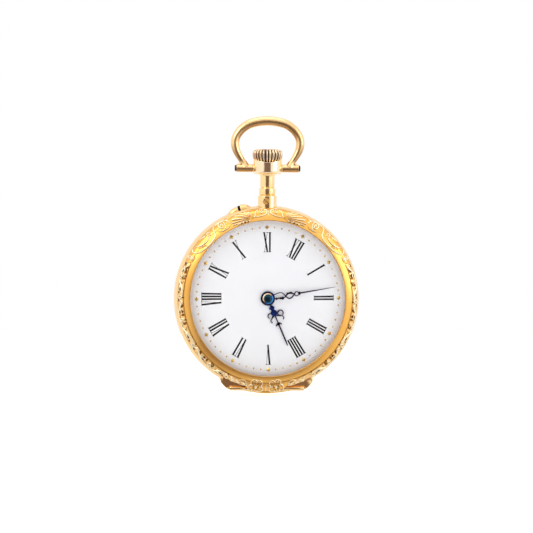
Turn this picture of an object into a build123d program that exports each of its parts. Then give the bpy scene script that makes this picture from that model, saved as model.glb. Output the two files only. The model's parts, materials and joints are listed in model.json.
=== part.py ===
"""Fob watch: a small pendant watch with a hinged bezel, a hinged back and a
hinged inner cover, wound at the crown and set with a push-pin, holding a
cylinder-escapement movement.

Frame: millimetres, +Z up through the pendant, the dial faces -Y, +X is to the
right of somebody reading the dial.  The origin is the middle of the flat outer
face of the back, on the axis of the hands.  A height h (or low) above the back
lies at y = -h.  Plan points are (x, z).  Plan angles are turned clockwise from
the pendant as the dial is read; headings are degrees from +X towards +Z.
"""
from build123d import *
import math
import os

CUT = Mode.SUBTRACT


def polar(radius, angle):
    """Plan point at an angle in radians from +X towards +Z."""
    return (radius * math.cos(angle), radius * math.sin(angle))


def plan_point(start, distance, turn):
    """Plan point a distance from start, turned in degrees from the pendant."""
    angle = math.radians(turn)
    return (start[0] + distance * math.sin(angle), start[1] + distance * math.cos(angle))


def shift(at, x, z):
    return (at[0] + x, at[1] + z)


def heading(start, end):
    """Plan direction from start to end, in degrees from +X to +Z."""
    return math.degrees(math.atan2(end[1] - start[1], end[0] - start[0]))


def mesh_distance(teeth, leaves, module):
    """Distance between the centres of two gears in mesh."""
    return (teeth + leaves) * module / 2


# ------------------------------------------------------------------ case
case_r = 14.0          # widest radius of the band
stem_h = 3.3           # height of the pendant, stem and crown axis
band_low = 1.55        # back edge of the band
band_high = 4.80       # front edge of the band
step_r = 12.55         # step that the bezel snaps over
step_h = 5.35
bore_r = 11.85         # bore that holds the movement
seat_r = 12.17         # seat for the plate flange and dial
seat_h = 4.6
cover_bore_r = 12.45   # bore that holds the inner cover
ledge_h = 2.55         # ledge under the case screws

bezel_r = 13.48
bezel_in = 11.66       # opening of the bezel
bezel_low = 4.86
crystal_r = 11.93
crystal_groove_r = crystal_r + 0.03

back_flat_r = 5.0
back_r = 13.3
cuvette_r = 12.3

# ------------------------------------------------------------------ hinges
hinge_z = -13.5
back_hinge_h = 1.75
bezel_hinge_h = 4.75
knuckle_r = 0.38
knuckle_gap_r = 0.45
hinge_pin_r = 0.20
hinge_end = 5.6
case_knuckle_in = 3.3        # inner end of the outer case knuckles
cover_knuckle_w = 2.15       # each moving knuckle of the bezel and the back
cover_knuckles = (-3.25, 1.1)      # their left ends
middle_knuckle_end = 1.03
case_gap_end = 3.28          # outer end of the gaps in the band

# ------------------------------------------------------------------ pendant
socket_r = 1.0
socket_z = 13.0
collar_r = 1.42
collar_z0 = 13.5
collar_z1 = 15.5
mid_r = 1.225
mid_z1 = 16.6
neck_r = 1.085
neck_z1 = 18.65
tube_chamfer = 0.12
stem_bore_r = 0.62
stem_screw_at = (-0.27, 14.63)
stem_screw_r = 0.16
cup_r = 2.205
cup_z0 = neck_z1
cup_z1 = 21.0
cup_floor_z = 20.15
crown_r = 2.3
crown_z0 = 20.3
crown_z1 = 22.5
crown_bore_r = 0.45
crown_bore_z1 = 21.7
crown_flutes = 26
bow_z = 19.6
bow_tube_r = 0.60
bow_tube_in = 2.26
bow_tube_out = 4.70
bow_wire_r = 0.62
bow_screw_r = 0.28

# ------------------------------------------------------------------ setting
set_angle = -17.5      # plan angle of the setting push-pin
set_pin_r = 0.20
set_hole_r = set_pin_r + 0.03
boss_len = 3.8
boss_wide = 1.3
boss_in = 13.75        # distance of the foot of the boss from the middle

# ------------------------------------------------------------------ gearing
barrel_teeth, centre_leaves, barrel_module = 80, 10, 0.12
centre_teeth, third_leaves, centre_module = 64, 8, 0.11
third_teeth, fourth_leaves, third_module = 60, 8, 0.10
fourth_teeth, escape_leaves, fourth_module = 60, 6, 0.10
cannon_teeth, minute_teeth, cannon_module = 12, 36, 0.12
minute_leaves, hour_teeth = 10, 40
setting_teeth = 20
ratchet_teeth, crown_teeth = 56, 32

# ------------------------------------------------------------------ movement
centre = (0.0, 0.0)
barrel_at = plan_point(centre, mesh_distance(barrel_teeth, centre_leaves, barrel_module), -60)
third_at = plan_point(centre, mesh_distance(centre_teeth, third_leaves, centre_module), 95)
fourth_at = plan_point(third_at, mesh_distance(third_teeth, fourth_leaves, third_module), 140)
escape_at = plan_point(
    fourth_at, mesh_distance(fourth_teeth, escape_leaves, fourth_module), 215)
balance_at = shift(escape_at, -2.05, 0)
crown_wheel_at = (0.0, 7.4)
minute_wheel_at = (0.0, mesh_distance(cannon_teeth, minute_teeth, cannon_module))
setting_wheel_at = shift(
    minute_wheel_at, 0, mesh_distance(minute_teeth, setting_teeth, cannon_module))
click_at = plan_point(barrel_at, 5.3, -125)
click_spring_at = (-9.9, 2.9)
yoke_at = (-4.7, 8.8)
dial_feet = ((6.36, 6.36), (-6.36, -6.36))

hour_module = 2 * math.dist(centre, minute_wheel_at) / (minute_leaves + hour_teeth)
ratchet_module = 2 * math.dist(barrel_at, crown_wheel_at) / (ratchet_teeth + crown_teeth)

barrel_bridge_screws = ((-8.9, -2.6), (-6.35, 8.35), (3.4, 8.6))
train_bridge_screws = ((7.8, 4.4), (9.9, -3.7))
pillars = barrel_bridge_screws + train_bridge_screws
cock_screw_at = (-4.3, -8.1)
escape_cock_screw_at = (7.6, -6.7)
case_screws_at = ((5.72, -9.92), (-9.92, -5.72))

plate_r = 11.75
flange_r = 12.10
web_low, web_high = 3.55, 4.35
bridge_low, bridge_high = 1.80, 2.55
bridge_thick = bridge_high - bridge_low
bridge_r = 11.5
cock_low, cock_foot_low = 1.45, 1.75
cock_foot_r = 1.2
escape_cock_low, escape_cock_high = 2.50, 2.72
escape_cock_thick = escape_cock_high - escape_cock_low
screw_shank_r = 0.29
screw_tap_r = 0.30     # threaded into the main plate
screw_clear_r = 0.32   # through a bridge or cock
screw_turn = 35        # direction of the slots in the plate screws

pivot_r = 0.12
jewel_hole_r = 0.14
jewel_r = 0.42
jewel_gap = 0.005      # between a jewel and its setting
cock_jewel_r = 0.35
escape_jewel_r = 0.32
plate_jewel_low, plate_jewel_thick = 3.60, 0.28
plate_jewel_high = plate_jewel_low + plate_jewel_thick

drum_r = 4.50
drum_bore_r = 4.25
wheel_low = 1.42       # back face of the ratchet and crown wheels
wheel_thick = 0.33
crown_core_r = 0.58
click_low, click_thick = 1.45, 0.28
hairspring_r = 2.45
stud_turn = -110       # plan angle of the hairspring stud from the balance
stud_at = plan_point(balance_at, hairspring_r, stud_turn)

# ------------------------------------------------------------------ dial, hands
dial_r = 12.0
dial_h0 = 5.0
dial_h1 = 5.45
dial_hole_r = 1.05
dial_edge = 0.12
minute_tip = 10.48
hour_tip = 7.73
minute_angle = 80.0
hour_angle = 156.67
hour_pipe_r = 0.955
minute_seat_r = 0.50
minute_seat_h = 5.93

# ------------------------------------------------------------------ tables
# (radius, height) round the section of the band
band_profile = (
    (step_r, step_h), (step_r, band_high), (13.5, band_high), (13.72, 4.45), (13.9, 3.9),
    (case_r, 3.3), (case_r, 3.0), (13.9, 2.35), (13.68, 1.9), (13.4, band_low),
    (cover_bore_r, band_low), (cover_bore_r, ledge_h), (bore_r, ledge_h),
    (bore_r, seat_h), (seat_r, seat_h), (seat_r, step_h))

# (x, z) of the shoulder right of the hinges
shoulder_outline = (
    (3.3, -12.75), (6.6, -11.9), (6.98, -12.12), (6.85, -12.62), (5.95, -13.55), (3.3, -13.55))

# (x, z) along the left half of the bow wire, from the tube to the top
bow_half = (
    (-3.42, 19.85), (-3.92, 20.87), (-4.46, 21.71), (-4.8, 22.5), (-4.94, 23.4),
    (-4.75, 24.3), (-4.26, 25.1), (-3.71, 25.66), (-2.81, 26.24), (-1.45, 26.62))
bow_path = bow_half + ((0, 26.75),) + tuple((-x, z) for x, z in reversed(bow_half))

# (x, z) of the cuts that trim each bridge from a disc
barrel_bridge_outline = (
    (-13, -4.6), (-1.5, -1.35), (-1.28, 0.75), (0.18, 1.6), (3.02, 5.6),
    (7.0, 9.5), (9, 13), (-13, 13))
train_bridge_outline = (
    (-1.3, -1.3), (-1.1, 0.6), (0.3, 1.4), (3.2, 5.45), (7.2, 9.3), (12, 9),
    (12, -4.9), (8.2, -4.9), (6.4, -4.0), (1.2, -1.3))

# (x, z) of the body, arm and claw of the yoke, from its pivot
yoke_outline = (
    (0.1, 0.55), (1.15, 1.52), (1.62, 1.40), (1.25, 0.25), (3.9, -0.38),
    (3.98, -0.62), (1.2, -0.45), (-0.2, -0.58))

# one gear tooth: half pitches from its middle, modules from the pitch circle
tooth_corners = (
    (-0.62, -1.15), (-0.46, 0), (-0.20, 0.85), (0.20, 0.85), (0.46, 0), (0.62, -1.15))

# one escape tooth: radius, degrees back from the tooth's start
escape_tooth_corners = ((1.22, 14.5), (1.62, 13.0), (1.60, 6.5), (1.22, 0.0))
escape_tooth_count = 15


# =================================================================== planes
def face_at(h, at=centre, turn=0.0):
    """Plane parallel to the dial, h above the back, centred on a plan point;
    its x axis is turned clockwise as the dial is read."""
    angle = math.radians(turn)
    return Plane(origin=(at[0], -h, at[1]),
                 x_dir=(math.cos(angle), 0, -math.sin(angle)), z_dir=(0, -1, 0))


def turning(at=centre):
    """Half plane for turned pieces: local x is the radius, local y the height."""
    return Plane(origin=(at[0], 0, at[1]), x_dir=(1, 0, 0), z_dir=(0, 0, -1))


def turn_axis(at=centre):
    return Axis((at[0], 0, at[1]), (0, -1, 0))


def stem_at(z):
    """Plane normal to the stem, centred on its axis."""
    return Plane(origin=(0, -stem_h, z), x_dir=(1, 0, 0), z_dir=(0, 0, 1))


def across(h, z, x):
    """Plane normal to X, for hinge knuckles, pins and the bow tubes."""
    return Plane(origin=(x, -h, z), x_dir=(0, -1, 0), z_dir=(1, 0, 0))


def radial_plane(radius, turn, h):
    """Plane normal to the case radius at a plan angle; local x runs along the
    rim clockwise."""
    angle = math.radians(turn)
    return Plane(origin=(radius * math.sin(angle), -h, radius * math.cos(angle)),
                 x_dir=(math.cos(angle), 0, -math.sin(angle)),
                 z_dir=(math.sin(angle), 0, math.cos(angle)))


def set_plane(radius):
    """Plane normal to the setting pin."""
    return radial_plane(radius, set_angle, stem_h)


# stem plane: local x is the radius, local y is z
stem_plane = Plane(origin=(0, -stem_h, 0), x_dir=(1, 0, 0), z_dir=(0, -1, 0))
stem_axis = Axis((0, -stem_h, 0), (0, 0, 1))
set_axis = Axis((0, -stem_h, 0), (math.sin(math.radians(set_angle)), 0,
                                  math.cos(math.radians(set_angle))))


# =================================================================== outlines
def gear(teeth, module, toward=0.0, tooth=True):
    """Corner points of a gear outline.  toward is the heading of the mesh,
    where it shows a tooth or a gap."""
    step = 2 * math.pi / teeth
    start = math.radians(toward) + (0 if tooth else step / 2)
    return [polar((teeth / 2 + rise) * module, start + (i + half / 2) * step)
            for i in range(teeth) for half, rise in tooth_corners]


def dome(radius, edge_r, edge_h, top_h):
    """Height at a radius of a spherical dome with its pole on the axis."""
    rise = top_h - edge_h
    sphere_r = (edge_r ** 2 + rise ** 2) / (2 * rise)
    return top_h - (sphere_r - math.sqrt(sphere_r ** 2 - radius ** 2))


def spiral(start_r, end_r, turns, first=0.0, per_turn=24):
    """(radius, angle in radians) stations along a flat spiral."""
    count = int(turns * per_turn)
    return [(start_r + (end_r - start_r) * i / count,
             first + 2 * math.pi * turns * i / count) for i in range(count + 1)]


# =================================================================== solids
# Each helper draws its own sketch and hands the face to the BuildPart that is
# open in the caller.
def rod(plane, radius, length, mode=Mode.ADD):
    with BuildSketch(plane) as outline:
        Circle(radius)
    extrude(outline.sketch.face(), amount=length, mode=mode)


def bar(plane, wide, tall, length, mode=Mode.ADD):
    with BuildSketch(plane) as outline:
        Rectangle(wide, tall)
    extrude(outline.sketch.face(), amount=length, mode=mode)


def rod_across(x0, x1, radius, h, z=hinge_z, mode=Mode.ADD):
    """Round rod along X, by default on a hinge axis."""
    rod(across(h, z, x0), radius, x1 - x0, mode)


def hinge_bore(h):
    rod_across(-6, 6, hinge_pin_r, h, mode=CUT)


def disc(at, radius, low, thick):
    rod(face_at(low, at), radius, thick)


def hole(at, radius, low, deep):
    rod(face_at(low, at), radius, deep, CUT)


def box(at, wide, tall, low, thick):
    bar(face_at(low, at), wide, tall, thick)


def pocket(at, wide, tall, low, deep, turn=0.0):
    bar(face_at(low, at, turn), wide, tall, deep, CUT)


def ring(at, outer, inner, low, thick):
    with BuildSketch(face_at(low, at)) as outline:
        Circle(outer)
        Circle(inner, mode=CUT)
    extrude(outline.sketch.face(), amount=thick)


def toothed(at, points, low, thick):
    """Solid gear from its corner points."""
    with BuildSketch(face_at(low, at)) as outline:
        with BuildLine():
            Polyline(*points, close=True)
        make_face()
    extrude(outline.sketch.face(), amount=thick)


def turned(profile, at=centre, plane=None, axis=None):
    """Solid turned from (radius, height) points, about a plan point unless a
    plane and axis are given."""
    with BuildSketch(plane or turning(at)) as outline:
        with BuildLine():
            Polyline(*profile, close=True)
        make_face()
    revolve(outline.sketch.face(), axis=axis or turn_axis(at))


def stem_turned(profile):
    """Solid turned about the stem from (radius, z) points."""
    turned(profile, plane=stem_plane, axis=stem_axis)


def strip(path, width, low, thick, at=centre):
    """Spring strip along (radius, angle) stations."""
    inner = [polar(radius - width / 2, angle) for radius, angle in path]
    outer = [polar(radius + width / 2, angle) for radius, angle in path]
    with BuildSketch(face_at(low, at)) as outline:
        with BuildLine():
            Spline(*inner)
            Line(inner[-1], outer[-1])
            Spline(*reversed(outer))
            Line(outer[0], inner[0])
        make_face()
    extrude(outline.sketch.face(), amount=thick)


def slotted_screw(at, head_low, steps, slot_long, slot_wide, slot_deep, turn):
    """Screw facing the back.  steps are (radius, length) from the head on."""
    low = head_low
    for radius, length in steps:
        disc(at, radius, low=low, thick=length)
        low += length
    above = 0.1
    pocket(at, slot_long, slot_wide, low=head_low - above, deep=above + slot_deep, turn=turn)


def screw_seats(places):
    """Sunk seats and clearance holes in a bridge."""
    for at in places:
        hole(at, 0.62, low=bridge_low - 0.1, deep=0.38)
        hole(at, screw_clear_r, low=bridge_low, deep=1)


# =================================================================== case
def case_middle():
    with BuildPart() as piece:
        turned(band_profile)
        # shoulders either side of the hinges
        for side in (-1, 1):
            with BuildSketch(face_at(back_hinge_h + 0.04)):
                Polygon(*[(side * x, z) for x, z in shoulder_outline], align=None)
            extrude(amount=bezel_hinge_h - 0.07 - back_hinge_h)
        # room for the knuckles that move
        rod_across(-case_gap_end, case_gap_end, knuckle_gap_r, back_hinge_h, mode=CUT)
        pocket((0, -13.0), 2.2, 1.7, low=band_low - 0.1, deep=0.42)
        for x0, x1 in ((-case_gap_end, -1.07), (1.07, case_gap_end)):
            rod_across(x0, x1, knuckle_gap_r, bezel_hinge_h, mode=CUT)
        # knuckles that belong to the case
        left = (-hinge_end, -case_knuckle_in)
        middle = (-middle_knuckle_end, middle_knuckle_end)
        right = (case_knuckle_in, hinge_end)
        for h, spans in ((back_hinge_h, (left, right)), (bezel_hinge_h, (left, middle, right))):
            for x0, x1 in spans:
                rod_across(x0, x1, knuckle_r, h)
            hinge_bore(h)
        # stem passage, pendant socket and collar recess
        rod(stem_at(11), 0.72, 4, CUT)
        rod(stem_at(socket_z), socket_r, 2, CUT)
        rod(stem_at(collar_z0), collar_r, 2, CUT)
        # setting pin passage and seat of its boss
        rod(set_plane(11), set_hole_r, 4, CUT)
        with BuildSketch(set_plane(boss_in)):
            SlotOverall(boss_len, boss_wide)
        extrude(amount=2, mode=CUT)
    return piece.part


def setting_boss():
    with BuildPart() as piece:
        with BuildSketch(set_plane(boss_in)):
            SlotOverall(boss_len, boss_wide)
        extrude(amount=0.95)
        fillet(piece.faces().sort_by(set_axis)[-1].edges(), 0.42)
        # finger slot between the two lobes
        bar(set_plane(14.12), 0.85, 3, 2, CUT)
        rod(set_plane(13.5), set_hole_r, 2, CUT)
    return piece.part


def setting_pin():
    with BuildPart() as piece:
        rod(set_plane(10.95), set_pin_r, 3.62)
        fillet(piece.faces().sort_by(set_axis)[-1].edges(), 0.12)
    return piece.part


def bezel():
    snap_r = step_r + 0.05
    with BuildPart() as piece:
        with BuildSketch(turning()):
            with BuildLine():
                Polyline((snap_r, bezel_low), (13.42, bezel_low), (bezel_r, 5.0),
                         (bezel_r, 5.35))
                ThreePointArc((bezel_r, 5.35), (13.25, 6.0), (12.64, 6.4))
                Line((12.64, 6.4), (12.3, 6.62))
                ThreePointArc((12.3, 6.62), (11.95, 6.76), (bezel_in, 6.7))
                Polyline((bezel_in, 6.7), (bezel_in, 6.37), (crystal_groove_r, 6.37),
                         (crystal_groove_r, 6.13), (bezel_in, 6.13), (bezel_in, 5.95),
                         (12.0, 5.75), (12.3, 5.45), (snap_r, 5.42), (snap_r, bezel_low))
            make_face()
        revolve(axis=turn_axis())
        # room for the case knuckles
        for x0, x1 in ((-hinge_end, -3.27), (-1.06, 1.06), (3.27, hinge_end)):
            rod_across(x0, x1, knuckle_gap_r, bezel_hinge_h, mode=CUT)
        # knuckles and the tongues that carry them
        for x0 in cover_knuckles:
            rod_across(x0, x0 + cover_knuckle_w, knuckle_r, bezel_hinge_h)
            box((x0 + cover_knuckle_w / 2, -13.1), cover_knuckle_w, 0.7, low=4.87, thick=0.25)
        hinge_bore(bezel_hinge_h)
    return piece.part


def crystal():
    # outer and inner domes: edge radius, edge height, top height
    outer_r, outer_edge_h, outer_top = 11.58, 6.42, 7.75
    inner_r, inner_edge_h, inner_top = 11.4, 6.15, 7.40
    arc_r = 6.0        # radius of the middle point of each arc
    with BuildPart() as piece:
        with BuildSketch(turning()):
            with BuildLine():
                Polyline((crystal_r, inner_edge_h), (crystal_r, 6.35), (11.6, 6.35),
                         (outer_r, outer_edge_h))
                ThreePointArc((outer_r, outer_edge_h),
                              (arc_r, dome(arc_r, outer_r, outer_edge_h, outer_top)),
                              (0, outer_top))
                Line((0, outer_top), (0, inner_top))
                ThreePointArc((0, inner_top),
                              (arc_r, dome(arc_r, inner_r, inner_edge_h, inner_top)),
                              (inner_r, inner_edge_h))
                Line((inner_r, inner_edge_h), (crystal_r, inner_edge_h))
            make_face()
        revolve(axis=turn_axis())
    return piece.part


def back_cover():
    rim_low, rim_high, floor_h = 1.38, 1.5, 0.35
    with BuildPart() as piece:
        with BuildSketch(turning()):
            with BuildLine():
                Line((0, 0), (back_flat_r, 0))
                ThreePointArc((back_flat_r, 0), (9.8, 0.40), (back_r, rim_low))
                Polyline((back_r, rim_low), (back_r, rim_high), (12.85, rim_high))
                ThreePointArc((12.85, rim_high), (9.7, 0.76), (back_flat_r, floor_h))
                Polyline((back_flat_r, floor_h), (0, floor_h), (0, 0))
            make_face()
        revolve(axis=turn_axis())
        # knuckles and the tongues that carry them
        for x0 in cover_knuckles:
            box((x0 + cover_knuckle_w / 2, -13.05), cover_knuckle_w, 0.9, low=1.37, thick=0.13)
            rod_across(x0, x0 + cover_knuckle_w, knuckle_r, back_hinge_h)
        # room for the case and inner cover knuckles
        for x0, x1 in ((-hinge_end, -3.27), (-1.08, 1.08), (3.27, hinge_end)):
            rod_across(x0, x1, knuckle_gap_r, back_hinge_h, mode=CUT)
        hinge_bore(back_hinge_h)
        # thumb lip at the upper right
        bar(radial_plane(13.0, 40, 1.44), 2.4, 0.12, 0.55)
    return piece.part


def cuvette():
    """Hinged inner cover."""
    rim_low, rim_high = 1.5, 1.75
    flat_low, flat_high = 0.6, 0.85
    with BuildPart() as piece:
        with BuildSketch(turning()):
            with BuildLine():
                Line((0, flat_low), (back_flat_r, flat_low))
                ThreePointArc((back_flat_r, flat_low), (9.3, 0.93), (cuvette_r, rim_low))
                Polyline((cuvette_r, rim_low), (cuvette_r, rim_high), (12.05, rim_high))
                ThreePointArc((12.05, rim_high), (9.2, 1.17), (back_flat_r, flat_high))
                Polyline((back_flat_r, flat_high), (0, flat_high), (0, flat_low))
            make_face()
        revolve(axis=turn_axis())
        box((0, -12.85), 2.0, 1.3, low=1.56, thick=0.19)
        rod_across(-middle_knuckle_end, middle_knuckle_end, knuckle_r, back_hinge_h)
        hinge_bore(back_hinge_h)
    return piece.part


def hinge_pin(h):
    end = hinge_end - 0.05
    with BuildPart() as piece:
        rod_across(-end, end, hinge_pin_r - 0.02, h)
    return piece.part


def back_hinge_pin():
    return hinge_pin(back_hinge_h)


def bezel_hinge_pin():
    return hinge_pin(bezel_hinge_h)


# =================================================================== pendant
def pendant_tube():
    foot_z = socket_z + 0.02
    collar_foot_z = collar_z0 + 0.01
    with BuildPart() as piece:
        stem_turned((
            (stem_bore_r, foot_z), (socket_r, foot_z), (socket_r, collar_foot_z),
            (collar_r, collar_foot_z), (collar_r, collar_z1 - tube_chamfer),
            (collar_r - tube_chamfer, collar_z1), (mid_r - 0.06, collar_z1),
            (mid_r, collar_z1 + tube_chamfer), (mid_r, mid_z1 - tube_chamfer),
            (mid_r - tube_chamfer, mid_z1), (neck_r, mid_z1), (neck_r, neck_z1),
            (stem_bore_r, neck_z1)))
        # hole and head seat of the stem screw
        hole(stem_screw_at, stem_screw_r, low=4.0, deep=1)
        hole(stem_screw_at, 0.37, low=4.48, deep=1)
    return piece.part


def stem_screw():
    with BuildPart() as piece:
        disc(stem_screw_at, stem_screw_r, low=4.02, thick=0.5)
        disc(stem_screw_at, 0.35, low=4.49, thick=0.27)
        # the head faces the front
        fillet(piece.faces().sort_by(Axis.Y)[0].edges(), 0.1)
        pocket(stem_screw_at, 0.9, 0.09, low=4.66, deep=0.3, turn=25)
    return piece.part


def pendant_cup():
    foot_r = 1.75
    belly_z = cup_z0 + 0.45
    with BuildPart() as piece:
        with BuildSketch(stem_plane):
            with BuildLine():
                Line((stem_bore_r, cup_z0), (foot_r, cup_z0))
                ThreePointArc((foot_r, cup_z0), (2.08, cup_z0 + 0.13), (cup_r, belly_z))
                Polyline((cup_r, belly_z), (cup_r, cup_z1 - 0.3), (2.1, cup_z1 - 0.2),
                         (1.96, cup_z1 - 0.25), (1.86, cup_floor_z),
                         (stem_bore_r, cup_floor_z), (stem_bore_r, cup_z0))
            make_face()
        revolve(axis=stem_axis)
        # tapped holes for the bow screws
        for x0, x1 in ((-2.4, -1.15), (1.15, 2.4)):
            rod_across(x0, x1, bow_screw_r, stem_h, bow_z, CUT)
    return piece.part


def crown():
    skirt_r = 1.72
    dome_r, dome_z = 2.1, 21.9
    arc_r = 1.2        # radius of the middle point of the dome arc
    with BuildPart() as piece:
        with BuildSketch(stem_plane):
            with BuildLine():
                Line((crown_bore_r, crown_z0), (skirt_r, crown_z0))
                ThreePointArc((skirt_r, crown_z0), (2.0, 20.95), (crown_r, 21.45))
                Polyline((crown_r, 21.45), (crown_r, 21.65), (dome_r, dome_z))
                ThreePointArc((dome_r, dome_z), (arc_r, dome(arc_r, dome_r, dome_z, crown_z1)),
                              (0, crown_z1))
                Polyline((0, crown_z1), (0, crown_bore_z1), (crown_bore_r, crown_bore_z1),
                         (crown_bore_r, crown_z0))
            make_face()
        revolve(axis=stem_axis)
        with BuildSketch(stem_at(20.85)):
            with PolarLocations(crown_r + 0.05, crown_flutes):
                Circle(0.16)
        extrude(amount=2, mode=CUT)
    return piece.part


def winding_stem():
    foot_z, shoulder_z, top_z = 6.55, 7.05, crown_bore_z1 - 0.01
    foot_r, body_r = 0.30, 0.50
    with BuildPart() as piece:
        stem_turned((
            (0, foot_z), (foot_r, foot_z), (foot_r, shoulder_z), (body_r, shoulder_z),
            (body_r, top_z), (crown_bore_r, top_z), (0, top_z)))
        # reduced to the bore of the crown
        with BuildSketch(stem_plane):
            with Locations((crown_bore_r + 0.03, 21.0)):
                Rectangle(0.06, 1.6)
        revolve(axis=stem_axis, mode=CUT)
    return piece.part


def bow():
    """Round wire bent to a stirrup, its ends joined to two pivot tubes."""
    with BuildPart() as piece:
        with BuildLine(stem_plane) as wire_path:
            Spline(*bow_path)
        with BuildSketch(Plane(origin=wire_path.line @ 0, z_dir=wire_path.line % 0)):
            Circle(bow_wire_r)
        sweep(path=wire_path.line)
        for x0, x1 in ((-bow_tube_out, -bow_tube_in), (bow_tube_in, bow_tube_out)):
            rod_across(x0, x1, bow_tube_r, stem_h, bow_z)
        rod_across(-6, 6, bow_screw_r + 0.03, stem_h, bow_z, CUT)
    return piece.part


def bow_screws():
    tip, head, head_end = 1.2, bow_tube_out + 0.02, bow_tube_out + 0.27
    with BuildPart() as piece:
        for side in (-1, 1):
            rod_across(*sorted((side * tip, side * head)), bow_screw_r, stem_h, bow_z)
            # domed head
            rod_across(*sorted((side * head, side * head_end)), 0.48, stem_h, bow_z)
            fillet(piece.faces().sort_by(Axis.X)[-1 if side > 0 else 0].edges(), 0.17)
    return piece.part


# =================================================================== dial, hands
def dial():
    foot_end_h = 3.75
    with BuildPart() as piece:
        turned((
            (dial_hole_r, dial_h0), (dial_r, dial_h0), (dial_r, dial_h1 - dial_edge),
            (dial_r - dial_edge, dial_h1), (dial_hole_r, dial_h1)))
        for at in dial_feet:
            disc(at, 0.35, low=foot_end_h, thick=dial_h0 - foot_end_h)
    return piece.part


def hour_hand():
    scrolls = ((-0.62, 2.75), (0.62, 2.75))
    with BuildPart() as piece:
        ring(centre, 1.08, hour_pipe_r, low=5.55, thick=0.28)
        with BuildSketch(face_at(5.62, turn=hour_angle)):
            with Locations((0, 2.0)):
                Ellipse(0.62, 1.0)
            with Locations(*scrolls):
                Circle(0.46)
            with Locations(*scrolls):
                Circle(0.24, mode=CUT)
            with Locations((0, 3.5)):
                Rectangle(0.22, 1.8)
            with Locations((0, 4.14)):
                Circle(0.32)
            Polygon((-0.13, 4.1), (0.13, 4.1), (0.10, hour_tip), (-0.10, hour_tip), align=None)
            Circle(hour_pipe_r, mode=CUT)
        extrude(amount=0.12)
    return piece.part


def minute_hand():
    # (distance from the centre, radius) of the beads and of the holes in them
    beads = ((1.75, 0.48), (2.75, 0.42), (3.65, 0.38), (4.74, 0.26))
    bead_holes = ((1.75, 0.30), (2.75, 0.25), (3.65, 0.22))
    with BuildPart() as piece:
        ring(centre, 0.75, minute_seat_r, low=minute_seat_h, thick=0.2)
        with BuildSketch(face_at(5.96, turn=minute_angle)):
            Polygon((-0.16, 0.6), (0.16, 0.6), (0.15, 4.8), (0.02, minute_tip),
                    (-0.02, minute_tip), (-0.15, 4.8), align=None)
            for along, radius in beads:
                with Locations((0, along)):
                    Circle(radius)
            for along, radius in bead_holes:
                with Locations((0, along)):
                    Circle(radius, mode=CUT)
            Circle(minute_seat_r, mode=CUT)
        extrude(amount=0.1)
    return piece.part


def cannon_pinion():
    leaf_low, leaf_high = 4.42, 4.64
    with BuildPart() as piece:
        toothed(centre, gear(cannon_teeth, cannon_module, heading(centre, minute_wheel_at)),
                low=leaf_low, thick=leaf_high - leaf_low)
        disc(centre, 0.55, low=leaf_high, thick=minute_seat_h - leaf_high)
        disc(centre, minute_seat_r, low=minute_seat_h, thick=0.22)
        hole(centre, 0.315, low=4.3, deep=2)
    return piece.part


def hour_wheel():
    with BuildPart() as piece:
        toothed(centre, gear(hour_teeth, hour_module, heading(centre, minute_wheel_at)),
                low=4.70, thick=0.18)
        disc(centre, hour_pipe_r, low=4.88, thick=0.95)
        hole(centre, 0.60, low=4.6, deep=2)
    return piece.part


def minute_wheel():
    toward = heading(minute_wheel_at, centre)
    with BuildPart() as piece:
        toothed(minute_wheel_at, gear(minute_teeth, cannon_module, toward, tooth=False),
                low=4.44, thick=0.18)
        toothed(minute_wheel_at, gear(minute_leaves, hour_module, toward, tooth=False),
                low=4.62, thick=0.27)
        hole(minute_wheel_at, 0.25, low=4.3, deep=2)
    return piece.part


def setting_wheel():
    toward = heading(setting_wheel_at, minute_wheel_at)
    with BuildPart() as piece:
        toothed(setting_wheel_at, gear(setting_teeth, cannon_module, toward),
                low=4.42, thick=0.2)
        hole(setting_wheel_at, 0.30, low=4.3, deep=2)
    return piece.part


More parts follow.
